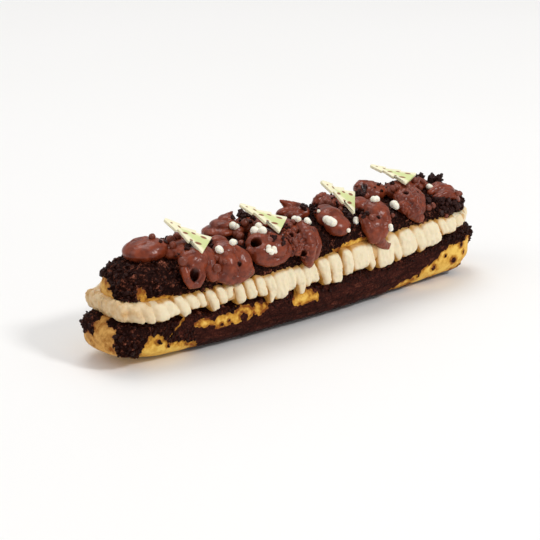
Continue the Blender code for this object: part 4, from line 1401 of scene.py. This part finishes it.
def build_brown_crispies(tree, topping):
    """Stick the brown crispies on as one joined piece."""
    rng = random.Random(21)
    bm = bmesh.new()
    for x, y, z, radius in BROWN_CRISPIES:
        point, size = Vector((x, y, z)) * MM, radius * MM
        place, normal = settle(tree, point) or (point, Vector((0.0, 0.0, 1.0)))
        ball = add_ball(bm, place + normal * size * 0.35,
                        (size, size * rng.uniform(0.8, 1.0), size), 3)
        for vert in ball:
            away = (vert.co - place).normalized()
            vert.co += away * 0.3 * MM * wave(vert.co, 1.6 * MM)
    # Their material paints shade in their folds, as on the ganache.
    dark = tuple(v * 0.7 for v in topping.brown)
    return finish_piece(
        "brown_crispies", bm,
        ganache_material("milk chocolate crispies", dark, topping.brown, 0.36))


def build_crumbs(tree, topping):
    """Scatter broken crumbs of the cocoa crust as one joined piece."""
    rng = random.Random(8)
    bm = bmesh.new()
    for centre, count, spread, size in CRUMB_CLUSTERS:
        for _ in range(count):
            shift = Vector([rng.gauss(0.0, spread * 0.5) for _ in range(3)])
            found = settle(tree, (Vector(centre) + shift) * MM)
            if not found:
                continue
            big = size * rng.uniform(0.5, 1.25) * MM
            crumb = add_ball(bm, found[0] + found[1] * big * 0.3,
                             [big * rng.uniform(0.6, 1.2) for _ in range(3)], 1,
                             Matrix.Rotation(rng.uniform(0.0, 6.28), 3, found[1]))
            for vert in crumb:
                vert.co += (vert.co - found[0]).normalized() * big * rng.uniform(-0.3, 0.3)
    for x, y, z, depth, size in CRUMB_PILES:
        for step in range(depth):
            for _ in range(2):
                shift = Vector([rng.gauss(0.0, 0.7) for _ in range(3)])
                crumb = add_ball(bm, (Vector((x, y, z - 1.7 * step)) + shift) * MM,
                                 [size * rng.uniform(0.6, 1.1) * MM for _ in range(3)], 1,
                                 Matrix.Rotation(rng.uniform(0.0, 6.28), 3, "Z"))
                for vert in crumb:
                    vert.co += Vector([rng.uniform(-0.28, 0.28) * size * MM for _ in range(3)])
    pale = tuple(min(1.0, v * 3.0 + 0.008) for v in topping.crumb)
    return finish_piece("broken_crumbs", bm, crumb_material(topping.crumb, pale), (),
                        35)


# ---------------------------------------------------------------- stage

TABLE_HALF = 6.0
TABLE_TONES = ("#f6f5f3", "#f9f8f7")
SKY_STRENGTH = 0.55
# Name, place, size in metres and power in watts: a small key on the right for crisp
# highlights, a wide weak fill on the left and a wide soft light over the back
LIGHTS = (
    ("key", BACK * 1.1 + RIGHT * 2.1 + Vector((0, 0, 1.7)), 0.55, 36.0),
    ("fill", -RIGHT * 2.1 + BACK * 0.8 + Vector((0, 0, 1.8)), 1.8, 10.0),
    ("top", Vector((0.5, 1.1, 2.8)), 1.8, 26.0),
)
# The camera looks at a point near the middle; sensor and lens are in mm.
TARGET = Vector((-14, 0, 31.8)) * MM
CAMERA_DISTANCE = 1.2
SENSOR_WIDTH = 36.0
LENS = 117.33


# ---------------------------------------------------------------- operators

class ECLAIR_OT_stage(bpy.types.Operator):
    """Add the table, the soft studio lights and the camera"""

    bl_idname = "eclair.stage"
    bl_label = "Add Stage"

    def execute(self, context):
        """Build the stage."""
        scene = context.scene
        bm = bmesh.new()
        bmesh.ops.create_grid(bm, x_segments=1, y_segments=1, size=TABLE_HALF)
        mesh = bpy.data.meshes.new("table")
        bm.to_mesh(mesh)
        bm.free()
        material, add, place = new_material("matt white table")
        cloud = add("ShaderNodeTexNoise", {"Scale": 1.0 / 0.4, "Detail": 1.0},
                    {"Vector": place})
        stops = [(part, srgb(code)) for part, code in enumerate(TABLE_TONES)]
        tone = add("ShaderNodeValToRGB", {"stops": stops}, {0: cloud})
        mesh.materials.append(
            finish_material(material, {"Roughness": 0.6}, {"Base Color": tone}))
        table = bpy.data.objects.new("table", mesh)
        scene.collection.objects.link(table)
        scene.world = bpy.data.worlds.new("studio")
        scene.world.use_nodes = True
        sky = scene.world.node_tree.nodes["Background"]
        sky.inputs["Color"].default_value = (1.0, 1.0, 1.0, 1.0)
        sky.inputs["Strength"].default_value = SKY_STRENGTH
        scene.view_settings.view_transform = "Standard"
        for name, spot, size, power in LIGHTS:
            light = bpy.data.lights.new(name, "AREA")
            light.shape = "DISK"
            light.size = size
            light.energy = power
            lamp = bpy.data.objects.new(name, light)
            lamp.location = spot
            lamp.rotation_euler = (-spot).to_track_quat("-Z", "Y").to_euler()
            scene.collection.objects.link(lamp)
        camera = bpy.data.objects.new("camera", bpy.data.cameras.new("camera"))
        camera.data.sensor_width = SENSOR_WIDTH
        camera.data.lens = LENS
        turn = Matrix((RIGHT, BACK.cross(RIGHT), BACK)).transposed().to_4x4()
        turn.translation = TARGET + BACK * CAMERA_DISTANCE
        camera.matrix_world = turn
        scene.collection.objects.link(camera)
        scene.camera = camera
        return {"FINISHED"}


class ECLAIR_OT_buns(bpy.types.Operator):
    """Bake the two halves of the bun with their cocoa crust"""

    bl_idname = "eclair.buns"
    bl_label = "Add Buns"

    def execute(self, context):
        """Build both halves."""
        bun = context.scene.eclair_bun
        material = choux_material(bun)
        build_bun("lower_bun", "choux_base", (HALF_LENGTH, 0.0, BASE_END),
                  (base_shape, base_angles()), base_crust, base_coarse, bun, material)
        build_bun("upper_bun", "choux_top", (TOP_HALF_LENGTH, TOP_SHIFT, TOP_END),
                  (top_shape, top_angles()), top_crust, top_coarse, bun, material)
        for name in LOOSE_CRUMBS:
            build_crust_crumbs(name, bun)
        return {"FINISHED"}


class ECLAIR_OT_cream(bpy.types.Operator):
    """Pipe the cream between the halves"""

    bl_idname = "eclair.cream"
    bl_label = "Add Cream"

    def execute(self, context):
        """Build the band and the folds on both sides."""
        cream = context.scene.eclair_cream
        material = cream_material(cream)
        build_cream_band(material)
        build_cream_folds("cream_folds_front", -1.0, cream, material)
        build_cream_folds("cream_folds_back", 1.0, cream, material)
        return {"FINISHED"}


class ECLAIR_OT_ganache(bpy.types.Operator):
    """Pipe the dollops of ganache along the crown"""

    bl_idname = "eclair.ganache"
    bl_label = "Add Ganache"

    def execute(self, context):
        """Build every dollop."""
        ganache = context.scene.eclair_ganache
        material = ganache_material("whipped chocolate ganache", ganache.dark,
                                    ganache.light, 0.3)
        for name, row in DOLLOPS.items():
            build_dollop(name, row, ganache, material)
        return {"FINISHED"}


class ECLAIR_OT_plaques(bpy.types.Operator):
    """Lean the fir-tree plaques on the ganache"""

    bl_idname = "eclair.plaques"
    bl_label = "Add Plaques"

    def execute(self, context):
        """Build the four plaques."""
        material = plaque_material(context.scene.eclair_topping)
        for name, row in PLAQUES.items():
            build_plaque(name, row, material)
        return {"FINISHED"}


class ECLAIR_OT_toppings(bpy.types.Operator):
    """Scatter crispies and crumbs over the ganache"""

    bl_idname = "eclair.toppings"
    bl_label = "Add Toppings"

    def execute(self, context):
        """Build the crispies and crumbs."""
        topping = context.scene.eclair_topping
        tree = surface([name + "_piped" for name in DOLLOPS] + ["upper_bun"])
        build_white_crispies(tree, topping)
        build_brown_crispies(tree, topping)
        build_crumbs(tree, topping)
        return {"FINISHED"}


OPERATORS = (ECLAIR_OT_stage, ECLAIR_OT_buns, ECLAIR_OT_cream, ECLAIR_OT_ganache,
             ECLAIR_OT_plaques, ECLAIR_OT_toppings)
SETTINGS = {
    "eclair_bun": EclairBunSettings, "eclair_cream": EclairCreamSettings,
    "eclair_ganache": EclairGanacheSettings, "eclair_topping": EclairToppingSettings,
}


class ECLAIR_PT_panel(bpy.types.Panel):
    """Settings and steps of the eclair"""

    bl_idname = "ECLAIR_PT_panel"
    bl_label = "Chocolate Eclair"
    bl_space_type = "VIEW_3D"
    bl_region_type = "UI"
    bl_category = "Eclair"

    def draw(self, context):
        """List the steps and their settings."""
        for operator in OPERATORS:
            self.layout.operator(operator.bl_idname)
        for name, group in SETTINGS.items():
            box = self.layout.box()
            box.label(text=name.replace("_", " ").capitalize())
            for setting in group.__annotations__:
                box.prop(getattr(context.scene, name), setting)


CLASSES = (*SETTINGS.values(), *OPERATORS, ECLAIR_PT_panel)


def register():
    """Register the classes and hang the settings on the scene."""
    for cls in CLASSES:
        bpy.utils.register_class(cls)
    for name, group in SETTINGS.items():
        setattr(bpy.types.Scene, name, bpy.props.PointerProperty(type=group))


def unregister():
    """Undo register."""
    for name in SETTINGS:
        delattr(bpy.types.Scene, name)
    for cls in reversed(CLASSES):
        bpy.utils.unregister_class(cls)


def main():
    """Register and run every step in order."""
    register()
    for operator in OPERATORS:
        group, step = operator.bl_idname.split(".")
        getattr(getattr(bpy.ops, group), step)()


if __name__ == "__main__":
    main()
